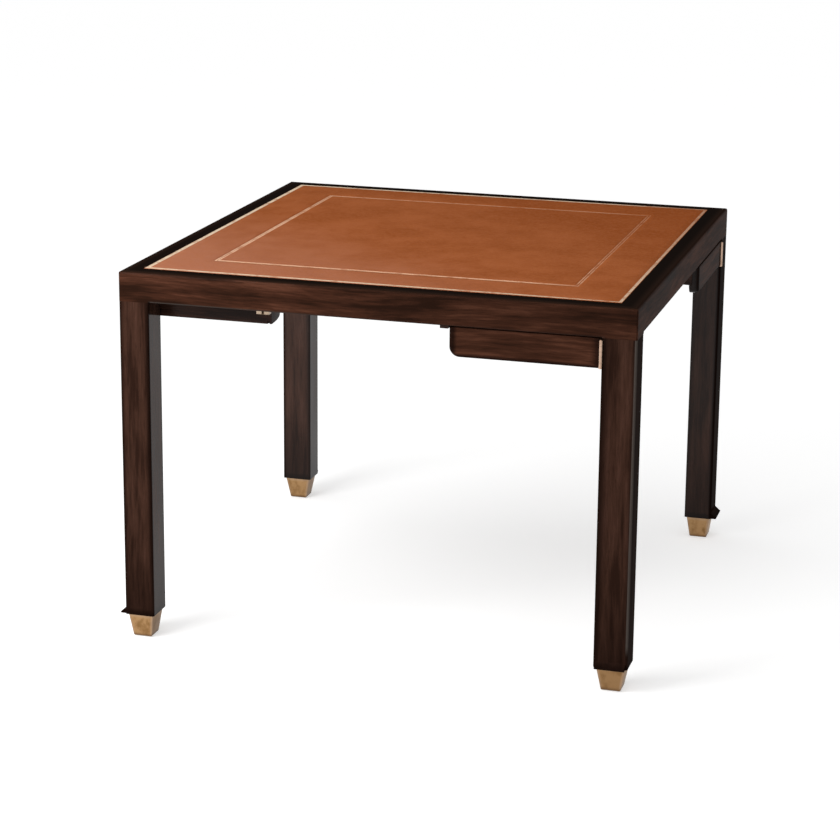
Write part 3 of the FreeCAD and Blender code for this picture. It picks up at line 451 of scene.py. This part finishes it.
def apron_border(tree, axes):
    """The top edge: painted nearly black beside the leather in place of a dark reflection, a little
    browner along the outside.

    A painted highlight lies on the lower arris between the legs, paler towards the left-hand end.
    """
    reach = from_middle(tree, axes)
    colour = tint(tree, ramp(tree, strongest(tree, *reach), *BORDER_OUTSIDE), BORDER_BLACK, BORDER_BROWN)
    top = ramp(tree, axes[2], *TOP_EDGE, end=0.985)
    wear_and_highlight = reckon(tree, "MULTIPLY", ramp(tree, axes[2], *LOWER_ARRIS, start=0.8, end=0.0),
                    ramp(tree, axes[0], *HIGHLIGHT_RUN, start=1.0, end=0.2))
    between = ramp(tree, reckon(tree, "MINIMUM", *reach), *LEG_INNER_FACE, start=1.0, end=0.0)
    wear_and_highlight = reckon(tree, "MULTIPLY", wear_and_highlight, between)
    low_down = ramp(tree, axes[2], APRON_LOW, APRON_TOP, start=1.0, end=0.0)
    colour = tint(tree, low_down, colour, APRON_HIGHLIGHT)
    return strongest(tree, top, wear_and_highlight), colour


def apron_edge(tree, axes):
    """Painted shade: a thin dark line under the top."""
    return ramp(tree, axes[2], *UNDER_TOP, end=0.25)


def across_edge(tree, axes):
    """The same, and painted shade that darkens the boards towards their right-hand end."""
    return strongest(tree, apron_edge(tree, axes), ramp(tree, axes[0], *SHADE_RUN, end=0.22))


across_finish = lacquered_mahogany("apron_mahogany_across", ACROSS, RAIL_SHADES, ACROSS_GLOSS,
                                   across_edge, apron_border)
along_finish = lacquered_mahogany("apron_mahogany_along", ALONG, RAIL_SHADES, ALONG_GLOSS,
                                  apron_edge, apron_border)
dress(across_finish, "apron_front", "apron_back")
dress(along_finish, "apron_left", "apron_right")


# Corner blocks and bearers: plain sealed hardwood glued inside the frame, out of sight, to
# stiffen the corners and carry the panel.
BEARER_SHADES = ((0.075, 0.036, 0.017), (0.135, 0.070, 0.035), (0.185, 0.105, 0.056))
BLOCK_SHADES = ((0.070, 0.033, 0.016), (0.125, 0.064, 0.032), (0.170, 0.095, 0.050))


def sealed_timber(name, grain, shades, rough):
    """Timber with a thin sealer and no gloss."""
    material, tree, shader, _, axes = start_material(name)
    wood = timber(tree, axes, grain, shades)
    uneven = ramp(tree, wood["Cloud"], *NOISE_SPAN, start=rough - 0.08, end=rough + 0.08)
    wires = {"Base Color": wood["Colour"], "Roughness": uneven}
    lay_finish(tree, shader, wires, wood["Height"], strength=0.4, deep=0.0004)
    shader.inputs["Specular IOR Level"].default_value = 0.1
    return material


dress(sealed_timber("bearer_hardwood", ACROSS, BEARER_SHADES, rough=0.55), "panel_bearers")
dress(sealed_timber("block_hardwood", UPRIGHT, BLOCK_SHADES, rough=0.55), "corner_blocks")


# Top panel: a plywood board lying on the bearers between the rails. Only its underside shows,
# from below, in rotary-cut veneer.
PANEL_SHADES = ((0.135, 0.074, 0.037), (0.165, 0.093, 0.048), (0.200, 0.118, 0.063))
dress(sealed_timber("panel_plywood", ALONG, PANEL_SHADES, rough=0.6), "top_panel")


# Leather: one saddle-tan hide skived thin and glued over the whole panel. A gilt band is rolled
# along its edge and a double gilt fillet is tooled into it as a square further in. The gilt band is
# narrower on the right, and painted shade dims the gilt towards the right and the back. A painted
# sheen makes the tan paler towards the front left corner and painted shade deepens it towards the
# back right; painted shade also darkens the creases of the grain.
HIDE_HALF, HIDE_LOW, HIDE_THICK, HIDE_EDGE = 0.4698, 0.7482, 0.0018, 0.0008
HIDE_CUTS = 40
UNEVEN_DEEP, UNEVEN_WAVES = 0.00010, 17.0
BAND_OUT, BAND_IN = 0.4690, 0.4606
FILLETS = ((0.3648, 0.3621), (0.3599, 0.3572))
GILT_EDGE, BAND_LOSS = 0.0003, 0.0024
# Steps inwards from the edge of the hide: how wide each is, and how far it rises.
CROSS_SECTION = (
    (0.0004, 0.0), (0.0003, -0.0001), (0.0074, 0.0), (0.0003, 0.0001),
    (0.0961, 0.0), (0.0003, -0.0002), (0.0015, 0.0), (0.0003, 0.0002),
    (0.0028, 0.0), (0.0003, -0.0002), (0.0015, 0.0), (0.0003, 0.0002),
)
BAND_GILT, FILLET_GILT = (0.68, 0.52, 0.36), (0.84, 0.53, 0.34)
BAND_REACH = (0.40, 0.42)
TAN_DEEP, TAN_LIGHT = (0.306, 0.081, 0.0210), (0.385, 0.111, 0.0345)
TAN_SHEEN, TAN_SHADE = (0.415, 0.170, 0.100), (0.276, 0.063, 0.0104)
TAN_FLECK, TAN_CREASE = (0.428, 0.137, 0.050), (0.16, 0.036, 0.0085)
MOTTLE_WAVES, FLECK_WAVES = (11.0, 11.0, 11.0), (150.0, 150.0, 150.0)
RUB_WAVES, CREASE_WAVES = (38.0, 38.0, 38.0), 620.0
CREASE_SHARE, CREASE_HEIGHT, FLECK_HEIGHT = 0.35, -1.0, 0.6
GILT_ROUGH, GILT_METAL = -0.14, 0.35
SHEEN_ACROSS, SHEEN_ALONG, SHEEN_MOTTLE = -1.1, -1.5, 0.5
HIDE_RUN, BAND_RIGHT_END, FILLET_RIGHT_END = (-0.46, 0.46), (0.25, 0.44), (0.25, 0.36)
hide_leather, tree, shader, place, axes = start_material("hide_leather")
ring = strongest(tree, *from_middle(tree, axes))
front_left = reckon(tree, "MULTIPLY_ADD", axes[0], SHEEN_ACROSS,
                    reckon(tree, "MULTIPLY", axes[1], SHEEN_ALONG))
right_end = ramp(tree, axes[0], *BAND_RIGHT_END)
narrowed_ring = reckon(tree, "MULTIPLY_ADD", right_end, -BAND_LOSS, ring)
lines = []
for (outer, inner), inner_ring in zip(((BAND_OUT, BAND_IN), *FILLETS), (narrowed_ring, ring, ring)):
    inside = ramp(tree, inner_ring, inner - GILT_EDGE, inner + GILT_EDGE)
    outside = ramp(tree, ring, outer - GILT_EDGE, outer + GILT_EDGE, start=1.0, end=0.0)
    lines.append(reckon(tree, "MULTIPLY", inside, outside))
# Painted shade dims the gilt band towards the right and the back, and the fillets away from the front
# left corner.
band_left = reckon(tree, "MULTIPLY_ADD", right_end, ramp(tree, axes[1], *HIDE_RUN, end=-0.4),
                   ramp(tree, axes[0], *HIDE_RUN, start=1.0, end=0.72))
fillet_left = reckon(tree, "MULTIPLY", ramp(tree, front_left, -0.5, 0.35, start=0.4),
                     ramp(tree, axes[0], *FILLET_RIGHT_END, start=1.0, end=0.5))
band = reckon(tree, "MULTIPLY", lines[0], band_left)
fillets = reckon(tree, "MULTIPLY", strongest(tree, *lines[1:]), fillet_left)
wear_and_highlight = ramp(tree, cloud(tree, place, RUB_WAVES, detail=5.0, rough=0.7), 0.34, 0.52, start=0.35)
gilt = reckon(tree, "MULTIPLY", strongest(tree, band, fillets), wear_and_highlight)
gold = tint(tree, ramp(tree, ring, *BAND_REACH), FILLET_GILT, BAND_GILT)
mottle = cloud(tree, place, MOTTLE_WAVES, detail=5.0, rough=0.6)
fleck = cloud(tree, place, FLECK_WAVES, detail=3.0, rough=0.6)
creases = add(tree, "TexVoronoi", {"Vector": place, "Scale": CREASE_WAVES}, feature="DISTANCE_TO_EDGE")
valley = ramp(tree, creases.outputs[0], 0.0, 0.16, start=1.0, end=0.0)
# Painted sheen and shade: the tan grows paler towards the front left and deeper towards the back right.
light_fall = reckon(tree, "MULTIPLY_ADD", mottle, SHEEN_MOTTLE, front_left)
tan = tint(tree, ramp(tree, mottle, 0.32, 0.70), TAN_DEEP, TAN_LIGHT)
tan = tint(tree, ramp(tree, light_fall, 0.35, 1.35, end=0.85), tan, TAN_SHEEN)
tan = tint(tree, ramp(tree, light_fall, -0.75, 0.20, start=0.75, end=0.0), tan, TAN_SHADE)
tan = tint(tree, ramp(tree, fleck, 0.35, 0.70, end=0.35), tan, TAN_FLECK)
# Painted shade darkens the tan in the creases.
tan = tint(tree, reckon(tree, "MULTIPLY", valley, CREASE_SHARE), tan, TAN_CREASE)
hide_rough = ramp(tree, mottle, *NOISE_SPAN, start=0.46, end=0.56)
wires = {
    "Base Color": tint(tree, gilt, tan, gold),
    "Roughness": reckon(tree, "MULTIPLY_ADD", gilt, GILT_ROUGH, hide_rough),
    "Metallic": reckon(tree, "MULTIPLY", gilt, GILT_METAL),
}
flecks = reckon(tree, "MULTIPLY", fleck, FLECK_HEIGHT)
hide_grain = reckon(tree, "MULTIPLY_ADD", valley, CREASE_HEIGHT, flecks)
lay_finish(tree, shader, wires, hide_grain, strength=0.35, deep=0.0003)
shader.inputs["Specular IOR Level"].default_value = 0.0
shader.inputs["Coat Weight"].default_value = 0.03
shader.inputs["Coat Roughness"].default_value = 0.4
shader.inputs["Coat IOR"].default_value = 1.3


def cut_through(shape, spot, facing, near=1e-6, drop=False):
    """Cut a shape along a plane, and drop what lies beyond it if asked."""
    bmesh.ops.bisect_plane(shape, geom=[*shape.verts, *shape.edges, *shape.faces], dist=near,
                           plane_co=spot, plane_no=facing, clear_outer=drop)


hide = bmesh.new()
middle = Matrix.Translation((0, 0, HIDE_LOW + HIDE_THICK / 2))
blank = Matrix.Diagonal((2 * HIDE_HALF, 2 * HIDE_HALF, HIDE_THICK, 1))
bmesh.ops.create_cube(hide, size=1.0, matrix=middle @ blank)
upper = max(hide.faces, key=height_of)
bevel(hide, list(upper.edges), HIDE_EDGE, segments=3)
upper = max(hide.faces, key=lambda face: (round(height_of(face), 5), face.calc_area()))
for width, rise in CROSS_SECTION:
    bmesh.ops.inset_region(hide, faces=[upper], thickness=width, depth=rise, use_even_offset=True)
for cut in range(1, HIDE_CUTS):
    reach = HIDE_HALF * (2 * cut / HIDE_CUTS - 1)
    cut_through(hide, (reach, 0, 0), (1, 0, 0))
    cut_through(hide, (0, reach, 0), (0, 1, 0))
for vert in hide.verts:
    if vert.co.z > HIDE_LOW + HIDE_THICK / 2:
        vert.co.z -= UNEVEN_DEEP * (1 + noise.noise(vert.co * UNEVEN_WAVES))
leather = finish_piece(hide, "leather_hide", hide_leather, "table_frame", ["leather_inset"])


# Cover boards: thin boards screwed up under the rails, one above each drawer, so that nothing
# drops on the contents. Stained like the rest but only sealed.
SIDES = ("front", "right", "back", "left")
COVER_SHADES = ((0.009, 0.0038, 0.0025), (0.022, 0.0090, 0.0058), (0.041, 0.0170, 0.0105))
cover_finish = sealed_timber("cover_board_stain", ACROSS, COVER_SHADES, rough=0.5)
dress(cover_finish, *("drawer_cover_" + side for side in SIDES))


# Hinges and catches: polished brass. The barrel of each butt hinge shows between drawer and leg;
# the slotted ball catches sit under the cover boards and take the tongues of the strikes, which
# are of dark bronze.
HINGE_BRIGHT, HINGE_DULL = (0.485, 0.332, 0.245), (0.385, 0.256, 0.180)
CATCH_BRIGHT, CATCH_DULL = (0.40, 0.305, 0.225), (0.24, 0.178, 0.125)
STRIKE_BRIGHT, STRIKE_DULL = (0.085, 0.056, 0.036), (0.045, 0.030, 0.020)
hinge_brass = brass("hinge_brass", HINGE_BRIGHT, HINGE_DULL, smooth=0.18, scratch_depth=0.0001)
catch_brass = brass("catch_brass", CATCH_BRIGHT, CATCH_DULL, smooth=0.16, scratch_depth=0.0001)
strike_bronze = brass("strike_bronze", STRIKE_BRIGHT, STRIKE_DULL, smooth=0.30, scratch_depth=0.0001)
dress(hinge_brass, "hinge_leaves_fixed", "hinge_pins", *("drawer_leaf_" + side for side in SIDES))
dress(catch_brass, "ball_catches")
dress(strike_bronze, *("drawer_strike_" + side for side in SIDES))


# Screws: slotted countersunk brass wood screws in the leaves, cover boards, catches and strikes.
# Each head lies flush; the slots stand as the driver left them.
HEAD_RADIUS, HEAD_LAND, HEAD_SINK, HEAD_SIDES = 0.0028, 0.0002, 0.0015, 24
SHANK_RADIUS, POINT_RADIUS, POINT_LONG = 0.0014, 0.0003, 0.003
SLOT_WIDE, SLOT_END, SLOT_DEEP, SLOT_TAPER = 0.0008, 0.0002, 0.0006, 0.8
SLOT_STEP = math.radians(67)
SCREW_BRIGHT, SCREW_DULL = (0.46, 0.30, 0.165), (0.35, 0.22, 0.11)
HINGE_X, TABLE_HALF = 0.4404, 0.508
COVER_LONG, LEAF_LONG, CATCH_LONG, STRIKE_LONG = 0.018, 0.014, 0.016, 0.008
COVER_LOW, CATCH_LOW, STRIKE_HIGH = 0.6840, 0.6720, 0.6745
LEAF_DEEP, LEAF_HEIGHTS = 0.0115, (0.6485, 0.6695)
DOWN, TO_DRAWER, TO_LEG = (0, 0, -1), (-1, 0, 0), (1, 0, 0)
# Each screw: depth from the front, run from the hinge, height, the way its head faces, length.
FIXED_SCREWS = (
    *((0.0300, run, COVER_LOW, DOWN, COVER_LONG) for run in (0.045, 0.150, 0.255)),
    *((deep, -0.0345, COVER_LOW, DOWN, COVER_LONG) for deep in (0.110, 0.235)),
    *((LEAF_DEEP, -0.0016, high, TO_DRAWER, LEAF_LONG) for high in LEAF_HEIGHTS),
    *((deep, -0.0060, CATCH_LOW, DOWN, CATCH_LONG) for deep in (0.26725, 0.28275)),
)
DRAWER_SCREWS = (
    *((LEAF_DEEP, 0.0, high, TO_LEG, LEAF_LONG) for high in LEAF_HEIGHTS),
    *((deep, 0.0, STRIKE_HIGH, TO_LEG, STRIKE_LONG) for deep in (0.2615, 0.2695)),
)
screw_brass = brass("screw_brass", SCREW_BRIGHT, SCREW_DULL, smooth=0.26, scratch_depth=0.0001)


def slotted_screw(long):
    """One screw standing on its point, its head at the origin."""
    screw = bmesh.new()
    bmesh.ops.create_circle(screw, cap_ends=True, radius=HEAD_RADIUS, segments=HEAD_SIDES)
    for reach in (-SLOT_WIDE / 2, SLOT_WIDE / 2):
        cut_through(screw, (0, reach, 0), (0, 1, 0), near=1e-7)
    slot = min(screw.faces, key=lambda face: abs(face.calc_center_median().y))
    rim = [edge for edge in screw.edges if edge.is_boundary]
    for radius, deep in ((HEAD_RADIUS, HEAD_LAND), (SHANK_RADIUS, HEAD_SINK),
                         (SHANK_RADIUS, long - POINT_LONG), (POINT_RADIUS, long)):
        grown = bmesh.ops.extrude_edge_only(screw, edges=rim)["geom"]
        rim = [item for item in grown if isinstance(item, bmesh.types.BMEdge)]
        for vert in {vert for edge in rim for vert in edge.verts}:
            vert.co.xy = vert.co.xy.normalized() * radius
            vert.co.z = -deep
    bmesh.ops.edgeloop_fill(screw, edges=rim)
    bmesh.ops.inset_region(screw, faces=[slot], thickness=SLOT_END, use_even_offset=True)
    base = sink_face(screw, slot, -SLOT_DEEP)
    bmesh.ops.scale(screw, vec=(SLOT_TAPER, 1, 1), verts=base)
    bmesh.ops.recalc_face_normals(screw, faces=screw.faces)
    pattern = bpy.data.meshes.new("screw_pattern")
    screw.to_mesh(pattern)
    screw.free()
    return pattern


SCREW_LENGTHS = (STRIKE_LONG, LEAF_LONG, CATCH_LONG, COVER_LONG)
screw_patterns = {long: slotted_screw(long) for long in SCREW_LENGTHS}


def drive_screws(shape, places, side):
    """Put screws in a shape, placed from the hinge of a side."""
    for number, (deep, run, high, facing, long) in enumerate(places):
        first = len(shape.verts)
        shape.from_mesh(screw_patterns[long])
        shape.verts.ensure_lookup_table()
        lean = Vector((0, 0, 1)).rotation_difference(Vector(facing)).to_matrix().to_4x4()
        turned = Matrix.Rotation(SLOT_STEP * (number + 1) + side, 4, "Z")
        spot = Matrix.Translation((HINGE_X - run, deep - TABLE_HALF, high))
        quarter = Matrix.Rotation(math.radians(90 * side), 4, "Z")
        bmesh.ops.transform(shape, matrix=quarter @ spot @ lean @ turned, verts=shape.verts[first:])


fixed = bmesh.new()
for number, side in enumerate(SIDES):
    drive_screws(fixed, FIXED_SCREWS, number)
    moving = bmesh.new()
    drive_screws(moving, DRAWER_SCREWS, number)
    finish_piece(moving, "slotted_screws_" + side, screw_brass, "drawer_" + side,
                 ["drawer_screws_" + side])
finish_piece(fixed, "slotted_screws_frame", screw_brass, "table_frame", ["fixed_screws"])
for pattern in screw_patterns.values():
    bpy.data.meshes.remove(pattern)


# Drawer fronts: solid mahogany with the grain lengthways, matched to the aprons above.
# The lower corner at the free end is well rounded; painted shade darkens the edges there, the
# hinge end and the lower edge, and faintly the upper edge.
FRONT_LOW, FRONT_HIGH, FREE_END = 0.631, 0.6885, 0.2885
ACROSS_FRONT_GLOSS, ALONG_FRONT_GLOSS = 0.05, 0.085
FREE_END_BAND = (FREE_END - 0.019, FREE_END - 0.008)
HINGE_END_BAND = (0.005, 0.022)
LOWER_BAND = (FRONT_LOW + 0.003, FRONT_LOW + 0.012)
UPPER_BAND = (FRONT_HIGH - 0.003, FRONT_HIGH - 0.001)


def front_edges(along_axis, out_axis, hand):
    """Painted shade in darker bands at both ends, the lower edge and, faintly, the upper edge of a
    drawer front.

    The front runs along one axis of the table and faces out along another; hand is the way that
    it runs from its hinge.
    """
    def mask(tree, axes):
        outward = reckon(tree, "MULTIPLY", reckon(tree, "SIGN", axes[out_axis]), hand)
        run = reckon(tree, "MULTIPLY_ADD", axes[along_axis], outward, HINGE_X)
        free_end = ramp(tree, run, *FREE_END_BAND, end=0.85)
        hinge_end = ramp(tree, run, *HINGE_END_BAND, start=0.80, end=0.09)
        lower = ramp(tree, axes[2], *LOWER_BAND, start=0.8, end=0.0)
        upper = ramp(tree, axes[2], *UPPER_BAND, end=0.2)
        return strongest(tree, free_end, hinge_end, lower, upper)
    return mask


across_front = lacquered_mahogany("front_mahogany_across", ACROSS, RAIL_SHADES, ACROSS_FRONT_GLOSS,
                                  front_edges(along_axis=0, out_axis=1, hand=1.0))
along_front = lacquered_mahogany("front_mahogany_along", ALONG, RAIL_SHADES, ALONG_FRONT_GLOSS,
                                 front_edges(along_axis=1, out_axis=0, hand=-1.0))
dress(across_front, "drawer_front_front", "drawer_front_back")
dress(along_front, "drawer_front_left", "drawer_front_right")


# Drawer boxes: a straight wall, a bent wall and a plywood floor, dark stained and satin
# lacquered inside and out. The grain lies level in all of them.
BOX_SHADES = ((0.011, 0.0046, 0.0030), (0.029, 0.0115, 0.0072), (0.056, 0.0230, 0.0145))


def satin_mahogany(name, grain):
    """Dark stained mahogany under thin satin lacquer."""
    material, tree, shader, _, axes = start_material(name)
    wood = timber(tree, axes, grain, BOX_SHADES)
    rough = ramp(tree, wood["Cloud"], *NOISE_SPAN, start=0.30, end=0.42)
    gloss = ramp(tree, wood["Cloud"], *NOISE_SPAN, start=0.22, end=0.14)
    wires = {"Base Color": wood["Colour"], "Roughness": rough, "Coat Weight": gloss}
    lay_finish(tree, shader, wires, wood["Height"], strength=0.3, deep=0.0003)
    shader.inputs["Specular IOR Level"].default_value = 0.0
    shader.inputs["Coat Roughness"].default_value = 0.22
    return material


wall_across = satin_mahogany("wall_mahogany_across", ACROSS)
wall_along = satin_mahogany("wall_mahogany_along", ALONG)
dress(wall_along, "drawer_wall_front", "drawer_wall_back")
dress(wall_across, "drawer_wall_left", "drawer_wall_right")
for side in SIDES:
    dress(wall_across, "drawer_bend_" + side, "drawer_floor_" + side)


# Felt: dark green baize cut to a quarter round and glued to each drawer floor.
# The cut edge is soft and the nap stands up a little.
FELT_LOW, FELT_THICK, FELT_EDGE = 0.655, 0.0015, 0.0006
FELT_RADIUS, FELT_FRONT, FELT_SIDE = 0.2798, 0.0202, 0.0102
FELT_FLAT, FELT_AREA, FELT_SIDES = (0.2594, 0.2689), 0.0532, 160
NAP_WAVES, BRUSH_WAVES = (1500.0, 1500.0, 1500.0), (26.0, 26.0, 26.0)
BAIZE_DEEP, BAIZE_LIGHT, BAIZE_NAP = (0.020, 0.070, 0.038), (0.036, 0.108, 0.060), (0.060, 0.150, 0.088)
baize, tree, shader, place, _ = start_material("green_baize")
nap = cloud(tree, place, NAP_WAVES, detail=2.0, rough=0.7)
brushed = cloud(tree, place, BRUSH_WAVES, detail=4.0, rough=0.6)
green = tint(tree, ramp(tree, brushed, *NOISE_SPAN), BAIZE_DEEP, BAIZE_LIGHT)
green = tint(tree, ramp(tree, nap, 0.35, 0.7, end=0.5), green, BAIZE_NAP)
wires = {"Base Color": green, "Roughness": ramp(tree, nap, *NOISE_SPAN, start=0.85, end=0.98)}
lay_finish(tree, shader, wires, nap, strength=0.6, deep=0.0004)
shader.inputs["Specular IOR Level"].default_value = 0.1
shader.inputs["Sheen Weight"].default_value = 0.3
for number, side in enumerate(SIDES):
    lining = bmesh.new()
    bmesh.ops.create_circle(lining, cap_ends=True, radius=FELT_RADIUS, segments=FELT_SIDES)
    cut_through(lining, (0, FELT_FRONT, 0), (0, -1, 0), drop=True)
    cut_through(lining, (-FELT_SIDE, 0, 0), (1, 0, 0), drop=True)
    grown = bmesh.ops.extrude_face_region(lining, geom=lining.faces[:])["geom"]
    raised = [item for item in grown if isinstance(item, bmesh.types.BMVert)]
    bmesh.ops.translate(lining, vec=(0, 0, FELT_THICK), verts=raised)
    bmesh.ops.recalc_face_normals(lining, faces=lining.faces)
    nap_face = max(lining.faces, key=height_of)
    bevel(lining, list(nap_face.edges), FELT_EDGE, segments=3)
    bmesh.ops.translate(lining, vec=(HINGE_X, -TABLE_HALF, FELT_LOW), verts=lining.verts)
    turn_to_side(lining, number)
    felt = finish_piece(lining, "felt_lining_" + side, baize, "drawer_" + side,
                        ["drawer_felt_" + side])


# Floor and light: a plain white floor that keeps the shadow, a soft key from the left front, a
# weak fill from the front, a broad overhead light and an even white surround.
FLOOR_HALF, FLOOR_GREY, FLOOR_GLOW = 80.0, (0.66, 0.66, 0.66, 1.0), 0.565
WHITE = (1.0, 1.0, 1.0, 1.0)
SURROUND_LIGHT, SURROUND_SEEN = 0.33, 1.0
# Each lamp: name, place, the spot it is aimed at, width in metres, watts.
LAMPS = (
    ("key_left_front", (-1.35, -1.75, 1.65), (-0.3, -0.4, 0.6), 1.3, 44.0),
    ("fill_front", (-1.0, -4.2, 1.6), (0.0, 0.0, 0.4), 2.4, 22.0),
)
OVERHEAD_STRENGTH, OVERHEAD_SPREAD = 1.1, math.radians(70)
OVERHEAD_TURN = (math.radians(18), math.radians(-14), 0)


def seen_directly(tree):
    """1 for what the eye sees straight, in a reflection or through glass."""
    path = add(tree, "LightPath").outputs
    return strongest(tree, path["Is Camera Ray"], path["Is Glossy Ray"], path["Is Transmission Ray"])


floor_white, tree, shader, _, _ = start_material("floor_white")
shader.inputs["Base Color"].default_value = FLOOR_GREY
shader.inputs["Roughness"].default_value = 0.9
shader.inputs["Specular IOR Level"].default_value = 0.0
shader.inputs["Emission Color"].default_value = WHITE
glow = reckon(tree, "MULTIPLY", seen_directly(tree), FLOOR_GLOW)
tree.links.new(glow, shader.inputs["Emission Strength"])
from_below = add(tree, "NewGeometry").outputs["Backfacing"]
clear = add(tree, "BsdfTransparent").outputs[0]
one_way = add(tree, "MixShader", {0: from_below, 1: shader.outputs[0], 2: clear}).outputs[0]
tree.links.new(one_way, tree.nodes["Material Output"].inputs["Surface"])
ground = bmesh.new()
bmesh.ops.create_grid(ground, x_segments=1, y_segments=1, size=FLOOR_HALF)
ground_mesh = bpy.data.meshes.new("studio_floor")
ground.to_mesh(ground_mesh)
ground.free()
ground_mesh.materials.append(floor_white)
studio_floor = bpy.data.objects.new("studio_floor", ground_mesh)
bpy.context.scene.collection.objects.link(studio_floor)

surround = bpy.data.worlds.new("white_surround")
bpy.context.scene.world = surround
surround.use_nodes = True
tree = surround.node_tree
strength = ramp(tree, seen_directly(tree), 0.0, 1.0, start=SURROUND_LIGHT, end=SURROUND_SEEN)
tree.links.new(strength, tree.nodes["Background"].inputs["Strength"])
tree.nodes["Background"].inputs["Color"].default_value = WHITE

for name, spot, aim, width, watts in LAMPS:
    lamp = bpy.data.lights.new(name, "AREA")
    lamp.size = width
    lamp.energy = watts
    lamp_object = bpy.data.objects.new(name, lamp)
    lamp_object.location = spot
    lamp_object.visible_camera = False
    lamp_object.rotation_euler = (Vector(aim) - Vector(spot)).to_track_quat("-Z", "Y").to_euler()
    bpy.context.scene.collection.objects.link(lamp_object)
overhead = bpy.data.lights.new("overhead", "SUN")
overhead.energy = OVERHEAD_STRENGTH
overhead.angle = OVERHEAD_SPREAD
overhead_object = bpy.data.objects.new("overhead", overhead)
overhead_object.rotation_euler = OVERHEAD_TURN
bpy.context.scene.collection.objects.link(overhead_object)


# Camera: stands to the front right and looks down on the table, as in the picture to be matched.
# Focal length and the middle of the lens are in pixels of that picture; the lens is shifted a
# little so that the table keeps its place in the frame.
IMAGE, SENSOR, FAR_LIMIT = 840.0, 36.0, 200.0
FOCAL, MIDDLE_X, MIDDLE_Y = 2427.9, 420.0, 340.0
YAW, PITCH, ROLL = math.radians(15.954), math.radians(14.062), math.radians(0.530)
EYE_PLACE = (1.3044, -4.7318, 1.7599)
lens = bpy.data.cameras.new("camera")
lens.sensor_width = SENSOR
lens.lens = FOCAL / IMAGE * lens.sensor_width
lens.shift_x = (IMAGE / 2 - MIDDLE_X) / IMAGE
lens.shift_y = (MIDDLE_Y - IMAGE / 2) / IMAGE
lens.clip_end = FAR_LIMIT
level = Vector((math.cos(YAW), math.sin(YAW), 0.0))
ahead = Vector((-math.sin(YAW) * math.cos(PITCH), math.cos(YAW) * math.cos(PITCH), -math.sin(PITCH)))
rise = level.cross(ahead)
right = math.cos(ROLL) * level + math.sin(ROLL) * rise
up = math.cos(ROLL) * rise - math.sin(ROLL) * level
turn = Matrix((right, up, -ahead)).transposed().to_4x4()
eye = bpy.data.objects.new("camera", lens)
eye.matrix_world = Matrix.Translation(EYE_PLACE) @ turn
bpy.context.scene.collection.objects.link(eye)
bpy.context.scene.camera = eye
bpy.context.scene.view_settings.view_transform = "Standard"
